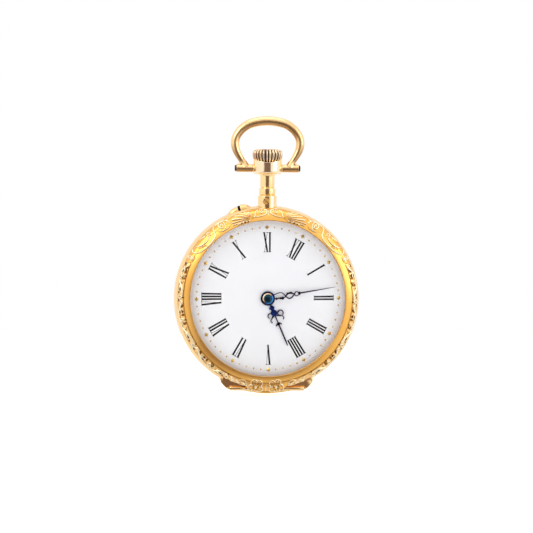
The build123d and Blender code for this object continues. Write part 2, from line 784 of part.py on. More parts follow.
# =================================================================== main plate
def mainplate():
    rim_in_low, rim_in_high = 11.1, 10.9     # inside radii behind and before the web
    flange_low, flange_high = 4.62, dial_h0 - 0.02
    pillar_r = 0.7
    pillar_h = web_low - bridge_high
    yoke_post_low, block_low = 3.05, 2.75
    with BuildPart() as piece:
        turned((
            (0, web_low), (rim_in_low, web_low), (rim_in_low, bridge_high),
            (plate_r, bridge_high), (plate_r, flange_low), (flange_r, flange_low),
            (flange_r, flange_high), (rim_in_high, flange_high), (rim_in_high, web_high),
            (0, web_high)))
        # pillars under the bridges and cocks
        for at in pillars:
            disc(at, pillar_r, low=bridge_high, thick=pillar_h)
        disc(cock_screw_at, cock_foot_r, low=bridge_high, thick=pillar_h)
        disc(escape_cock_screw_at, pillar_r, low=escape_cock_high,
             thick=web_low - escape_cock_high)
        # bearing block at the inner end of the stem
        box((0, 6.72), 1.6, 0.56, low=block_low, thick=web_low - block_low)
        # posts for the minute wheel, setting wheel and yoke
        disc(minute_wheel_at, 0.22, low=web_high, thick=0.5)
        disc(setting_wheel_at, 0.27, low=web_high, thick=0.3)
        disc(yoke_at, 0.28, low=yoke_post_low, thick=web_low - yoke_post_low)
        # room for the barrel and the centre pinion
        hole(barrel_at, 5.05, low=web_low - 0.01, deep=0.60)
        hole(centre, 0.82, low=web_low - 0.01, deep=0.60)
        # room for the stem, its two pinions and the setting pin
        pocket((0, 8.75), 2.5, 3.3, low=2.4, deep=2.0)
        pocket((0, 11.2), 1.4, 2.4, low=2.4, deep=1.55)
        rod(stem_at(6.3), 0.33, 1.2, CUT)
        bar(set_plane(10.5), 1.0, 0.9, 2, CUT)
        # bearings
        hole(centre, 0.33, low=web_low - 0.5, deep=2)
        hole(barrel_at, 0.43, low=3.9, deep=1)
        for at in (third_at, fourth_at, escape_at, balance_at):
            hole(at, jewel_r, low=web_low - 0.05, deep=0.45)
        # holes for screws and dial feet
        for at in (*pillars, cock_screw_at, escape_cock_screw_at, *case_screws_at):
            hole(at, screw_tap_r, low=2.4, deep=1.7)
        for at in dial_feet:
            hole(at, 0.40, low=2.4, deep=3)
    return piece.part


# =================================================================== bridges
def barrel_bridge():
    with BuildPart() as piece:
        with BuildSketch(face_at(bridge_low)):
            Circle(bridge_r)
            Polygon(*barrel_bridge_outline, align=None, mode=Mode.INTERSECT)
        extrude(amount=bridge_thick)
        hole(barrel_at, 0.65, low=bridge_low, deep=1)
        # window over the winding pinion, pocket over the sliding pinion
        pocket((0, 9.65), 2.5, 1.5, low=bridge_low - 0.1, deep=1)
        pocket((0, 8.2), 2.5, 2.4, low=2.16, deep=1)
        screw_seats(barrel_bridge_screws)
        # tapped holes for the crown wheel core, click and click spring
        for at, radius in ((crown_wheel_at, 0.26), (click_at, 0.26), (click_spring_at, 0.2)):
            hole(at, radius, low=bridge_low - 0.1, deep=0.5)
        # soften the edge of the back face
        fillet(piece.faces().sort_by(Axis.Y)[-1].outer_wire().edges(), 0.08)
    return piece.part


def train_bridge():
    with BuildPart() as piece:
        with BuildSketch(face_at(bridge_low)):
            Circle(bridge_r)
            Polygon(*train_bridge_outline, align=None, mode=Mode.INTERSECT)
            # clear of the balance
            with Locations(balance_at):
                Circle(4.15, mode=CUT)
        extrude(amount=bridge_thick)
        hole(centre, 0.28, low=bridge_low - 0.1, deep=1)
        for at in (third_at, fourth_at):
            hole(at, jewel_r, low=bridge_low - 0.1, deep=1)
        screw_seats(train_bridge_screws)
    return piece.part


def balance_cock():
    above = 1.3        # start of the cuts, behind the cock
    with BuildPart() as piece:
        with BuildSketch(face_at(cock_low)):
            with Locations(balance_at):
                Circle(0.95)
            with Locations(cock_screw_at):
                Circle(1.35)
            Polygon(shift(balance_at, -0.1, 0.9), shift(cock_screw_at, -0.3, 1.3),
                    shift(cock_screw_at, 0.6, -1.2), shift(balance_at, 0.3, -0.9), align=None)
        extrude(amount=cock_foot_low - cock_low)
        disc(cock_screw_at, cock_foot_r, low=cock_foot_low, thick=bridge_high - cock_foot_low)
        hole(cock_screw_at, 0.62, low=above, deep=0.45)
        hole(cock_screw_at, screw_clear_r, low=above, deep=2)
        hole(balance_at, cock_jewel_r, low=above, deep=1)
        # hole for the hairspring stud
        hole(stud_at, 0.16, low=above, deep=1)
    return piece.part


def escape_cock():
    with BuildPart() as piece:
        with BuildSketch(face_at(escape_cock_low)):
            with Locations(escape_at):
                Circle(0.6)
            with Locations(escape_cock_screw_at):
                Circle(0.72)
            Polygon(shift(escape_at, 0.1, 0.58), shift(escape_at, -0.1, -0.58),
                    shift(escape_cock_screw_at, -0.2, -0.68),
                    shift(escape_cock_screw_at, 0.2, 0.68), align=None)
        extrude(amount=escape_cock_thick)
        hole(escape_at, escape_jewel_r, low=2.4, deep=1)
        hole(escape_cock_screw_at, screw_clear_r, low=2.4, deep=1)
    return piece.part


def jewels():
    """Ruby bearings: one ring at each train and balance pivot."""
    # place, radius of the setting, back face, thickness
    settings = [(at, jewel_r, plate_jewel_low, plate_jewel_thick)
                for at in (third_at, fourth_at, escape_at, balance_at)]
    settings += [(at, jewel_r, 2.20, 0.30) for at in (third_at, fourth_at)]
    settings += [(escape_at, escape_jewel_r, escape_cock_low, escape_cock_thick),
                 (balance_at, cock_jewel_r, 1.50, 0.25)]
    with BuildPart() as piece:
        for at, setting_r, low, thick in settings:
            ring(at, setting_r - jewel_gap, jewel_hole_r, low=low, thick=thick)
    return piece.part


def bridge_screws():
    """Blued screws of the bridges and cocks."""
    bridge_heads = [(at, bridge_low + 0.02) for at in pillars]
    with BuildPart() as piece:
        for at, low in bridge_heads + [(cock_screw_at, 1.50)]:
            slotted_screw(at, low, ((0.60, 0.24), (screw_shank_r, 3.85 - low)),
                          slot_long=1.4, slot_wide=0.14, slot_deep=0.1, turn=screw_turn)
        slotted_screw(escape_cock_screw_at, 2.30, ((0.52, 0.2), (screw_shank_r, 1.5)),
                      slot_long=1.2, slot_wide=0.12, slot_deep=0.08, turn=screw_turn)
    return piece.part


def case_screws():
    """Dog screws that clamp the movement against the ledge of the case."""
    with BuildPart() as piece:
        for at in case_screws_at:
            slotted_screw(at, 2.27, ((0.80, 0.27), (screw_shank_r, 1.3)),
                          slot_long=1.8, slot_wide=0.16, slot_deep=0.12, turn=screw_turn)
    return piece.part


# =================================================================== barrel
def barrel_drum():
    drum_low, teeth_low = 3.12, 3.78
    with BuildPart() as piece:
        disc(barrel_at, drum_r, low=drum_low, thick=teeth_low - drum_low)
        toothed(barrel_at, gear(barrel_teeth, barrel_module, heading(barrel_at, centre)),
                low=teeth_low, thick=0.28)
        hole(barrel_at, drum_bore_r, low=3.0, deep=0.82)
        hole(barrel_at, 0.44, low=3.5, deep=1)
    return piece.part


def barrel_cover():
    low, thick = 3.00, 0.115
    with BuildPart() as piece:
        ring(barrel_at, drum_r, 0.66, low=low, thick=thick)
        # lip inside the drum
        ring(barrel_at, drum_bore_r - 0.01, 4.05, low=low + thick, thick=0.06)
    return piece.part


def barrel_arbor():
    body_r, body_high = 0.62, 3.79
    pivot_radius, pivot_high = 0.41, 4.30
    square_low = 1.44
    with BuildPart() as piece:
        turned(((0, bridge_low), (body_r, bridge_low), (body_r, body_high),
                (pivot_radius, body_high), (pivot_radius, pivot_high), (0, pivot_high)),
               barrel_at)
        # square for the ratchet wheel, tapped for its screw
        box(barrel_at, 0.80, 0.80, low=square_low, thick=bridge_low - square_low)
        hole(barrel_at, 0.22, low=1.3, deep=1.3)
    return piece.part


def mainspring():
    with BuildPart() as piece:
        strip(spiral(0.76, 4.15, turns=8), width=0.13, low=3.20, thick=0.56, at=barrel_at)
    return piece.part


def ratchet_wheel():
    with BuildPart() as piece:
        with BuildSketch(face_at(wheel_low, barrel_at)):
            with BuildLine():
                Polyline(*gear(ratchet_teeth, ratchet_module,
                               heading(barrel_at, crown_wheel_at)), close=True)
            make_face()
            Rectangle(0.81, 0.81, mode=CUT)
        extrude(amount=wheel_thick)
    return piece.part


def ratchet_screw():
    with BuildPart() as piece:
        slotted_screw(barrel_at, 1.18, ((0.95, 0.23), (0.21, 1.0)),
                      slot_long=2.0, slot_wide=0.18, slot_deep=0.1, turn=20)
    return piece.part


# =================================================================== winding work
def crown_wheel():
    with BuildPart() as piece:
        with BuildSketch(face_at(wheel_low, crown_wheel_at)):
            with BuildLine():
                Polyline(*gear(crown_teeth, ratchet_module, heading(crown_wheel_at, barrel_at),
                               tooth=False), close=True)
            make_face()
            Circle(crown_core_r + 0.04, mode=CUT)
        extrude(amount=wheel_thick)
    return piece.part


def crown_wheel_screw():
    with BuildPart() as piece:
        slotted_screw(crown_wheel_at, 1.20, ((0.95, 0.20), (crown_core_r, 0.39), (0.25, 0.34)),
                      slot_long=2.0, slot_wide=0.16, slot_deep=0.08, turn=-30)
    return piece.part


def click():
    hub_r = 0.55
    root_r = 0.52      # beak corners inside the hub
    click_dir = heading(click_at, barrel_at)
    near = math.radians(click_dir + 46)
    far = math.radians(click_dir + 78)
    with BuildPart() as piece:
        disc(click_at, hub_r, low=click_low, thick=click_thick)
        # beak lying just clear of the ratchet tooth tips
        with BuildSketch(face_at(click_low, click_at)):
            Polygon(polar(root_r, far + 0.9), polar(1.5, far), polar(1.45, near),
                    polar(root_r, near - 0.9), align=None)
        extrude(amount=click_thick)
        hole(click_at, 0.30, low=1.3, deep=1)
    return piece.part


def click_screw():
    with BuildPart() as piece:
        slotted_screw(click_at, 1.24, ((0.50, 0.19), (0.27, 0.35), (0.24, 0.28)),
                      slot_long=1.2, slot_wide=0.12, slot_deep=0.07, turn=60)
    return piece.part


def click_spring():
    """Strip bent along the rim from its screw to the back of the click."""
    # headings in degrees; the radius falls 0.40 in each 10 degrees
    first = 163
    path = [(10.25 - 0.40 * (degrees - first) / 10, math.radians(degrees))
            for degrees in range(first, 174, 2)]
    with BuildPart() as piece:
        strip(path, width=0.16, low=1.50, thick=0.22)
        # foot, screw head and shank
        disc(click_spring_at, 0.42, low=1.50, thick=0.28)
        disc(click_spring_at, 0.3, low=1.42, thick=0.1)
        disc(click_spring_at, 0.19, low=1.7, thick=0.4)
    return piece.part


def winding_pinion():
    with BuildPart() as piece:
        with BuildSketch(stem_at(9.05)):
            with BuildLine():
                Polyline(*gear(12, 0.165, 90), close=True)
            make_face()
            Circle(0.5, mode=CUT)
        extrude(amount=1.15)
    return piece.part


def sliding_pinion():
    bore, outer, groove = 0.52, 0.95, 0.68
    z0, z1 = 7.75, 9.02
    groove_z0, groove_z1 = 8.12, 8.48
    with BuildPart() as piece:
        stem_turned((
            (bore, z0), (outer, z0), (outer, groove_z0), (groove, groove_z0),
            (groove, groove_z1), (outer, groove_z1), (outer, z1), (bore, z1)))
        # face teeth that reach the setting wheel when it is pushed down
        with BuildSketch(stem_at(7.6)):
            with PolarLocations(outer, 12):
                Circle(0.09)
        extrude(amount=0.45, mode=CUT)
    return piece.part


def yoke():
    with BuildPart() as piece:
        with BuildSketch(face_at(3.17, yoke_at)):
            Circle(0.62)
            Polygon(*yoke_outline, align=None)
            Circle(0.31, mode=CUT)
        extrude(amount=0.26)
    return piece.part


# =================================================================== train
def spoked_wheel(at, points, low, thick, rim_in, hub_r, bore, spokes):
    """Train wheel; its spokes run a little way into the rim and the hub."""
    overlap = 0.15
    with BuildPart() as piece:
        with BuildSketch(face_at(low, at)):
            with BuildLine():
                Polyline(*points, close=True)
            make_face()
            Circle(rim_in, mode=CUT)
            with PolarLocations(0, spokes):
                with Locations(((rim_in + hub_r) / 2, 0)):
                    Rectangle(rim_in - hub_r + 2 * overlap, 0.34)
            Circle(hub_r)
            Circle(bore, mode=CUT)
        extrude(amount=thick)
    return piece.part


def pinion(at, points, leaf_low, leaf_thick, arbor_r, arbor_low=2.62, pivot_low=2.15):
    """Leaves on an arbor with a pivot at each end."""
    arbor_high = 3.52
    with BuildPart() as piece:
        turned((
            (0, pivot_low), (pivot_r, pivot_low), (pivot_r, arbor_low), (arbor_r, arbor_low),
            (arbor_r, arbor_high), (pivot_r, arbor_high), (pivot_r, plate_jewel_high),
            (0, plate_jewel_high)), at)
        toothed(at, points, low=leaf_low, thick=leaf_thick)
    return piece.part


def centre_wheel():
    return spoked_wheel(centre, gear(centre_teeth, centre_module, heading(centre, third_at)),
                        low=2.70, thick=0.18, rim_in=2.9, hub_r=0.95, bore=0.40, spokes=5)


def centre_pinion():
    leaf_low = 3.60
    with BuildPart() as piece:
        # (radius, height), from the back pivot to the post of the cannon pinion
        turned((
            (0, 1.95), (0.25, 1.95), (0.25, 2.60), (0.395, 2.60), (0.395, leaf_low),
            (0.30, leaf_low), (0.30, 6.17), (0, 6.32)))
        toothed(centre, gear(centre_leaves, barrel_module, heading(centre, barrel_at),
                             tooth=False), low=leaf_low, thick=0.48)
    return piece.part


def third_wheel():
    return spoked_wheel(third_at, gear(third_teeth, third_module, heading(third_at, fourth_at)),
                        low=3.25, thick=0.15, rim_in=2.5, hub_r=0.55, bore=0.20, spokes=4)


def third_pinion():
    leaves = gear(third_leaves, centre_module, heading(third_at, centre), tooth=False)
    return pinion(third_at, leaves, leaf_low=2.64, leaf_thick=0.28, arbor_r=0.195)


def fourth_wheel():
    teeth = gear(fourth_teeth, fourth_module, heading(fourth_at, escape_at))
    return spoked_wheel(fourth_at, teeth, low=2.98, thick=0.15, rim_in=2.5, hub_r=0.5,
                        bore=0.18, spokes=4)


def fourth_pinion():
    leaves = gear(fourth_leaves, third_module, heading(fourth_at, third_at), tooth=False)
    return pinion(fourth_at, leaves, leaf_low=3.19, leaf_thick=0.27, arbor_r=0.175)


def escape_wheel():
    pitch = 360 / escape_tooth_count
    points = [polar(radius, math.radians(i * pitch - back))
              for i in range(escape_tooth_count) for radius, back in escape_tooth_corners]
    with BuildPart() as piece:
        with BuildSketch(face_at(3.26, escape_at)):
            with BuildLine():
                Polyline(*points, close=True)
            make_face()
            Circle(1.0, mode=CUT)
            with PolarLocations(0, 4):
                with Locations((0.6, 0)):
                    Rectangle(1.0, 0.16)
            Circle(0.34)
            Circle(0.16, mode=CUT)
        extrude(amount=0.18)
    return piece.part


def escape_pinion():
    leaves = gear(escape_leaves, fourth_module, heading(escape_at, fourth_at), tooth=False)
    return pinion(escape_at, leaves, leaf_low=2.93, leaf_thick=0.25, arbor_r=0.155,
                  arbor_low=2.78, pivot_low=2.52)


# =================================================================== balance
def balance_wheel():
    with BuildPart() as piece:
        ring(balance_at, 3.90, 3.48, low=2.08, thick=0.30)
        # three arms and the hub
        with BuildSketch(face_at(2.14, balance_at)):
            with PolarLocations(0, 3, 90):
                with Locations((1.95, 0)):
                    Rectangle(3.3, 0.42)
            Circle(0.62)
            Circle(0.30, mode=CUT)
        extrude(amount=0.16)
    return piece.part


def balance_staff():
    collet_r, seat_radius, cylinder_r = 0.40, 0.295, 0.35
    # heights of the shoulders, back to front
    pivot_low, collet_low, seat_low = 1.50, 1.78, 2.05
    cylinder_low, cylinder_high, pivot_high = 2.40, 3.48, 3.87
    with BuildPart() as piece:
        turned((
            (0, pivot_low), (pivot_r, pivot_low), (pivot_r, collet_low),
            (collet_r, collet_low), (collet_r, seat_low), (seat_radius, seat_low),
            (seat_radius, cylinder_low), (cylinder_r, cylinder_low),
            (cylinder_r, cylinder_high), (pivot_r, cylinder_high),
            (pivot_r, pivot_high), (0, pivot_high)), balance_at)
        # bore and opening of the cylinder, on the side of the escape wheel
        hole(balance_at, 0.26, low=2.95, deep=0.47)
        pocket(shift(balance_at, 0.27, 0), 0.40, 0.9, low=3.10, deep=0.32)
    return piece.part


def hairspring():
    # whole turns, so that it ends where it starts, in line with the stud
    path = spiral(0.46, hairspring_r, turns=9, first=math.radians(90 - stud_turn))
    with BuildPart() as piece:
        strip(path, width=0.05, low=1.84, thick=0.15, at=balance_at)
    return piece.part


def hairspring_stud():
    with BuildPart() as piece:
        disc(stud_at, 0.155, low=1.40, thick=0.43)
    return piece.part


def regulator():
    low, thick = 1.28, 0.15
    with BuildPart() as piece:
        with BuildSketch(face_at(low, balance_at)):
            Circle(0.85)
            Circle(0.50, mode=CUT)
            with BuildLine(mode=Mode.PRIVATE) as index_line:
                Polyline((0.66, -0.20), (3.3, -0.05), (3.3, 0.05), (0.66, 0.20), close=True)
            make_face(index_line.line)
        extrude(amount=thick)
        # curb pins either side of the outer coil
        for x in (2.22, 2.62):
            disc(shift(balance_at, x, 0), 0.06, low=low + thick, thick=0.54)
    return piece.part


def cap_plate():
    with BuildPart() as piece:
        disc(balance_at, 0.46, low=1.24, thick=0.20)
    return piece.part


# =================================================================== export
# each piece is named after the function that builds it
pieces = (
    case_middle, setting_boss, setting_pin, bezel, crystal, back_cover, cuvette,
    back_hinge_pin, bezel_hinge_pin,
    pendant_tube, stem_screw, pendant_cup, crown, winding_stem, bow, bow_screws,
    dial, hour_hand, minute_hand, cannon_pinion, hour_wheel, minute_wheel, setting_wheel,
    mainplate, barrel_bridge, train_bridge, balance_cock, escape_cock, jewels,
    bridge_screws, case_screws,
    barrel_drum, barrel_cover, barrel_arbor, mainspring, ratchet_wheel, ratchet_screw,
    crown_wheel, crown_wheel_screw, click, click_screw, click_spring,
    winding_pinion, sliding_pinion, yoke,
    centre_wheel, centre_pinion, third_wheel, third_pinion, fourth_wheel, fourth_pinion,
    escape_wheel, escape_pinion,
    balance_wheel, balance_staff, hairspring, hairspring_stud, regulator, cap_plate)

os.makedirs("parts", exist_ok=True)
for build in pieces:
    part = build()
    part.label = build.__name__
    export_step(part, f"parts/{build.__name__}.step")
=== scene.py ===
"""Gold pocket watch with a chased bezel, roman dial, scrolled hands, fluted crown and bow.

Frame: x runs to the reader's right, z up towards the pendant, and the dial faces -y.
The origin lies on the dial's axis. Shapes are written in millimetres as plan points (x, z)
and heights measured towards -y. Plan angles are in degrees, clockwise from the pendant.
"""
import bpy
import bmesh
import json
import math
import numpy as np
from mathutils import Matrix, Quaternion, Vector


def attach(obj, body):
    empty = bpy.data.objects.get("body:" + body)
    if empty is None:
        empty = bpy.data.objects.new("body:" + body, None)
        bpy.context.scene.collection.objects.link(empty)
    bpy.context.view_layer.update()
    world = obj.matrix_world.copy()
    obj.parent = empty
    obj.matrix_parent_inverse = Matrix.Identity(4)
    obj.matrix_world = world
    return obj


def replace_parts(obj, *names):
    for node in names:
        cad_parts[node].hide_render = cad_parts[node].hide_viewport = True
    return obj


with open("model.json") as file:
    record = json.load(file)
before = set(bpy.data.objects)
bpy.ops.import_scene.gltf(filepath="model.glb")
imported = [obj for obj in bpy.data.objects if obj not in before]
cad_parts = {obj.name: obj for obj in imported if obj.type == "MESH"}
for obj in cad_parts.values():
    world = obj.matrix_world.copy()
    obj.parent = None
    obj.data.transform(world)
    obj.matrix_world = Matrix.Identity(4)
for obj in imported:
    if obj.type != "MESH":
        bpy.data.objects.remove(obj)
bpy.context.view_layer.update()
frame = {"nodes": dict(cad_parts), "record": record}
NODES = frame["nodes"]

MM = 0.001
STEM_H = 3.3           # height of the stem axis, which runs along z
STEM_Y = STEM_H * MM   # the same in metres, for the crown's shader
BOW_PIVOT_Z = 19.6
CROWN_FLUTES = 26


def sin_deg(angle):
    return math.sin(math.radians(angle))


def cos_deg(angle):
    return math.cos(math.radians(angle))


# ---------------------------------------------------------------- shader helpers
class Shader:
    """Adds nodes to a tree. An input takes a socket to link from, a number or a colour."""

    def __init__(self, tree):
        self.tree = tree
        self.coords = None   # default vector of the noise textures

    def feed(self, socket, value):
        if isinstance(value, bpy.types.NodeSocket):
            self.tree.links.new(value, socket)
        elif socket.type == "RGBA":
            socket.default_value = (*value, 1)
        else:
            socket.default_value = value

    def add(self, kind, inputs=None, **settings):
        node = self.tree.nodes.new("ShaderNode" + kind)
        for key, value in settings.items():
            setattr(node, key, value)
        for key, value in (inputs or {}).items():
            self.feed(node.inputs[key], value)
        return node

    def calc(self, operation, first, second=None):
        inputs = {0: first}
        if second is not None:
            inputs[1] = second
        return self.add("Math", inputs, operation=operation).outputs[0]

    def noise(self, scale, detail, roughness, distortion=0.0, vector=None):
        return self.add("TexNoise", {
            "Vector": vector or self.coords, "Scale": scale, "Detail": detail,
            "Roughness": roughness, "Distortion": distortion}).outputs["Fac"]

    def ramp(self, value, stops):
        """stops are (position, colour)."""
        node = self.add("ValToRGB", {"Fac": value})
        elements = node.color_ramp.elements
        while len(elements) < len(stops):
            elements.new(0.5)
        for element, (position, colour) in zip(elements, stops):
            element.position = position
            element.color = (*colour, 1)
        return node.outputs["Color"]

    def remap(self, value, span, onto, smooth=False):
        """Maps the range span onto the range onto."""
        return self.add("MapRange", {
            "Value": value, "From Min": span[0], "From Max": span[1],
            "To Min": onto[0], "To Max": onto[1],
        }, interpolation_type="SMOOTHSTEP" if smooth else "LINEAR").outputs[0]

    def mix(self, factor, first, second):
        inputs = {0: factor, 6: first, 7: second}
        return self.add("Mix", inputs, data_type="RGBA").outputs[2]

    def mottle(self, scale, detail, roughness, low, high, stops=(0.3, 0.7)):
        """Two colours clouded into each other."""
        fac = self.noise(scale, detail, roughness)
        return self.ramp(fac, ((stops[0], low), (stops[1], high)))

    def grain(self, onto, scale, detail, roughness=0.6, **noise):
        """Uneven surface roughness within the range onto."""
        return self.remap(self.noise(scale, detail, roughness, **noise), (0.3, 0.7), onto)

    def bump(self, strength, scale, detail, roughness, distance=0.00002, vector=None):
        return self.add("Bump", {
            "Strength": strength, "Distance": distance,
            "Height": self.noise(scale, detail, roughness, vector=vector)}).outputs[0]

    def attribute(self, name):
        return self.add("Attribute", attribute_name=name).outputs["Fac"]

    def separate(self, vector):
        """The x, y and z sockets of a vector."""
        return tuple(self.add("SeparateXYZ", {0: vector}).outputs)

    def principled(self, inputs):
        self.output(self.add("BsdfPrincipled", inputs).outputs[0])

    def output(self, surface):
        self.add("OutputMaterial", {0: surface})


def new_material(name):
    material = bpy.data.materials.new(name)
    material.use_nodes = True
    shader = Shader(material.node_tree)
    shader.tree.nodes.clear()
    shader.coords = shader.add("TexCoord").outputs["Object"]
    return material, shader


# ---------------------------------------------------------------- materials
def paint_shade_below(shader, source, colour, amount):
    """Painted shade: darkens the faces that look down and forward, standing in for the dark band
    they reflect.
    """
    normal = shader.add("NewGeometry").outputs["Normal"]
    _, y, z = shader.separate(normal)
    downward = shader.remap(z, (-0.34, -0.04), (1.0, 0.0))
    not_straight_down = shader.remap(z, (-0.93, -0.74), (0.0, 1.0))
    forward = shader.remap(y, (-0.5, -0.2), (amount, 0.0))
    both = shader.calc("MULTIPLY", downward, not_straight_down)
    return shader.mix(shader.calc("MULTIPLY", both, forward), source, colour)


def metal(name, low, mid, high, roughness, wear_and_highlight=0.35, bump=0.12, stretch=(1, 1, 1),
          bump_scale=5200.0, edge=(0.46, 0.56), painted_shade=None):
    """Clouded metal with fine grain, brighter edges and darker hollows. The brighter edges are
    rubbed wear together with a painted highlight; the darker hollows are painted shade.

    edge is the pointiness range over which the edge brightening sets in.
    """
    material, s = new_material(name)
    stretched = s.add("Mapping", {"Vector": s.coords, "Scale": stretch}).outputs[0]
    base = s.ramp(s.noise(scale=180.0, detail=3, roughness=0.5),
                  ((0.3, low), (0.55, mid), (0.8, mid)))
    pointiness = s.add("NewGeometry").outputs["Pointiness"]
    # rubbed wear and painted highlight brighten the edges
    rubbed_and_highlit = s.remap(pointiness, edge, (0.0, 1.0))
    # painted shade darkens the hollows
    hollow = s.remap(pointiness, (edge[0] - 0.06, 0.5), (1.0, 0.0))
    colour = s.mix(hollow, base, low)
    patches = s.remap(s.noise(scale=540.0, detail=4, roughness=0.6), (0.35, 0.65), (0.55, 1.0))
    worn_and_highlit = s.calc("MULTIPLY", s.calc("MULTIPLY", rubbed_and_highlit, patches), wear_and_highlight)
    colour = s.mix(worn_and_highlit, colour, high)
    if painted_shade:
        colour = paint_shade_below(s, colour, **painted_shade)
    s.principled({
        "Metallic": 1.0,
        "Base Color": colour,
        "Roughness": s.grain(roughness, scale=900.0, detail=5, distortion=0.3,
                             vector=stretched),
        "Normal": s.bump(bump, scale=bump_scale, detail=3, roughness=0.6, vector=stretched),
    })
    return material


def blued(name, low, mid, edge):
    """Heat-coloured steel; edge tints the faces seen aslant."""
    material, s = new_material(name)
    facing = s.add("LayerWeight", {"Blend": 0.35}).outputs["Facing"]
    base = s.mottle(scale=700, detail=4, roughness=0.6, low=low, high=mid, stops=(0.3, 0.62))
    s.principled({
        "Metallic": 1.0,
        "Base Color": s.mix(facing, base, edge),
        "Roughness": s.grain((0.18, 0.34), scale=2400, detail=4),
        "Normal": s.bump(0.15, scale=9000, detail=3, roughness=0.6),
    })
    return material


def enamel():
    """White dial with small specks, a little greyer outside the minute track; that grey is painted
    shade cast by the bezel's inner wall.
    """
    material, s = new_material("enamel")
    colour = s.mottle(scale=350, detail=4, roughness=0.6,
                      low=(0.845, 0.845, 0.86), high=(0.87, 0.87, 0.885))
    x, _, z = s.separate(s.coords)
    plan = s.add("CombineXYZ", {"X": x, "Y": z}).outputs[0]
    radius = s.add("VectorMath", {0: plan}, operation="LENGTH").outputs["Value"]
    # painted shade: greyer outside the minute track
    rim = s.remap(radius, (0.01112, 0.01122), (0.0, 0.24))
    colour = s.mix(rim, colour, (0.70, 0.67, 0.68))
    cells = s.add("TexVoronoi", {"Scale": 260, "Vector": s.coords}).outputs["Distance"]
    specks = s.remap(cells, (0.012, 0.03), (0.25, 0.0))
    s.principled({
        "Base Color": s.mix(specks, colour, (0.55, 0.53, 0.50)),
        "Roughness": s.grain((0.10, 0.2), scale=900, detail=3, roughness=0.5),
        "Specular IOR Level": 0.35,
        "Normal": s.bump(0.05, scale=500, detail=2, roughness=0.5, distance=0.00003),
    })
    return material


def ink():
    material, s = new_material("black_enamel")
    s.principled({
        "Base Color": s.mottle(scale=1500, detail=4, roughness=0.6,
                               low=(0.012, 0.009, 0.009), high=(0.035, 0.028, 0.027)),
        "Roughness": s.grain((0.25, 0.5), scale=3000, detail=3, roughness=0.5),
        "Specular IOR Level": 0.2,
    })
    return material


def glass():
    """Clear at right angles; reflects more when seen aslant."""
    material, s = new_material("crystal_glass")
    wave = s.bump(0.02, scale=300, detail=2, roughness=0.5)
    gloss = s.add("BsdfGlossy", {"Roughness": 0.02, "Normal": wave}).outputs[0]
    view = s.add("LayerWeight", {"Blend": 0.25}).outputs
    tint = s.ramp(view["Facing"], ((0.0, (0.995, 0.997, 1.0)), (0.9, (0.93, 0.945, 0.955))))
    clear = s.add("BsdfTransparent", {"Color": tint}).outputs[0]
    share = s.remap(view["Fresnel"], (0.0, 1.0), (0.0, 0.5))
    s.output(s.add("MixShader", {0: share, 1: clear, 2: gloss}).outputs[0])
    return material


def ruby():
    material, s = new_material("ruby")
    s.principled({
        "Base Color": s.mottle(scale=2500, detail=3, roughness=0.6,
                               low=(0.35, 0.01, 0.06), high=(0.65, 0.04, 0.16)),
        "Roughness": s.grain((0.05, 0.12), scale=4000, detail=3),
        "Coat Weight": 0.6,
    })
    return material


def relief_gold():
    """Coloured by the bezel's own relief and gap attributes: raised strokes are painted pale as
    painted highlight, their feet and the gaps dark as painted shade.
    """
    material, s = new_material("gold_relief")
    relief = s.attribute("relief")
    gap = s.attribute("gap")
    ground = s.mottle(scale=260, detail=3, roughness=0.5,
                      low=(0.92, 0.47, 0.10), high=(0.97, 0.55, 0.15))
    raised = s.mottle(scale=500, detail=3, roughness=0.6,
                      low=(1.0, 0.86, 0.54), high=(1.0, 0.92, 0.68))
    # painted highlight: the higher the relief, the paler the gold
    colour = s.mix(s.remap(relief, (0.30, 0.62), (0.0, 1.0)), ground, raised)
    # painted shade: the steep foot of each scroll is darker
    foot = s.calc("MULTIPLY", s.remap(relief, (0.02, 0.12), (0.0, 1.0)),
                  s.remap(relief, (0.18, 0.38), (0.95, 0.0)))
    colour = s.mix(foot, colour, (0.40, 0.165, 0.02))
    # painted shade: gaps and pits turn dark brown
    colour = s.mix(s.remap(gap, (0.22, 0.6), (0.0, 0.94)), colour, (0.21, 0.080, 0.012))
    s.principled({
        "Metallic": 1.0,
        "Base Color": colour,
        "Roughness": s.grain((0.26, 0.38), scale=1800, detail=4),
        "Normal": s.bump(0.08, scale=7000, detail=3, roughness=0.6),
    })
    return material


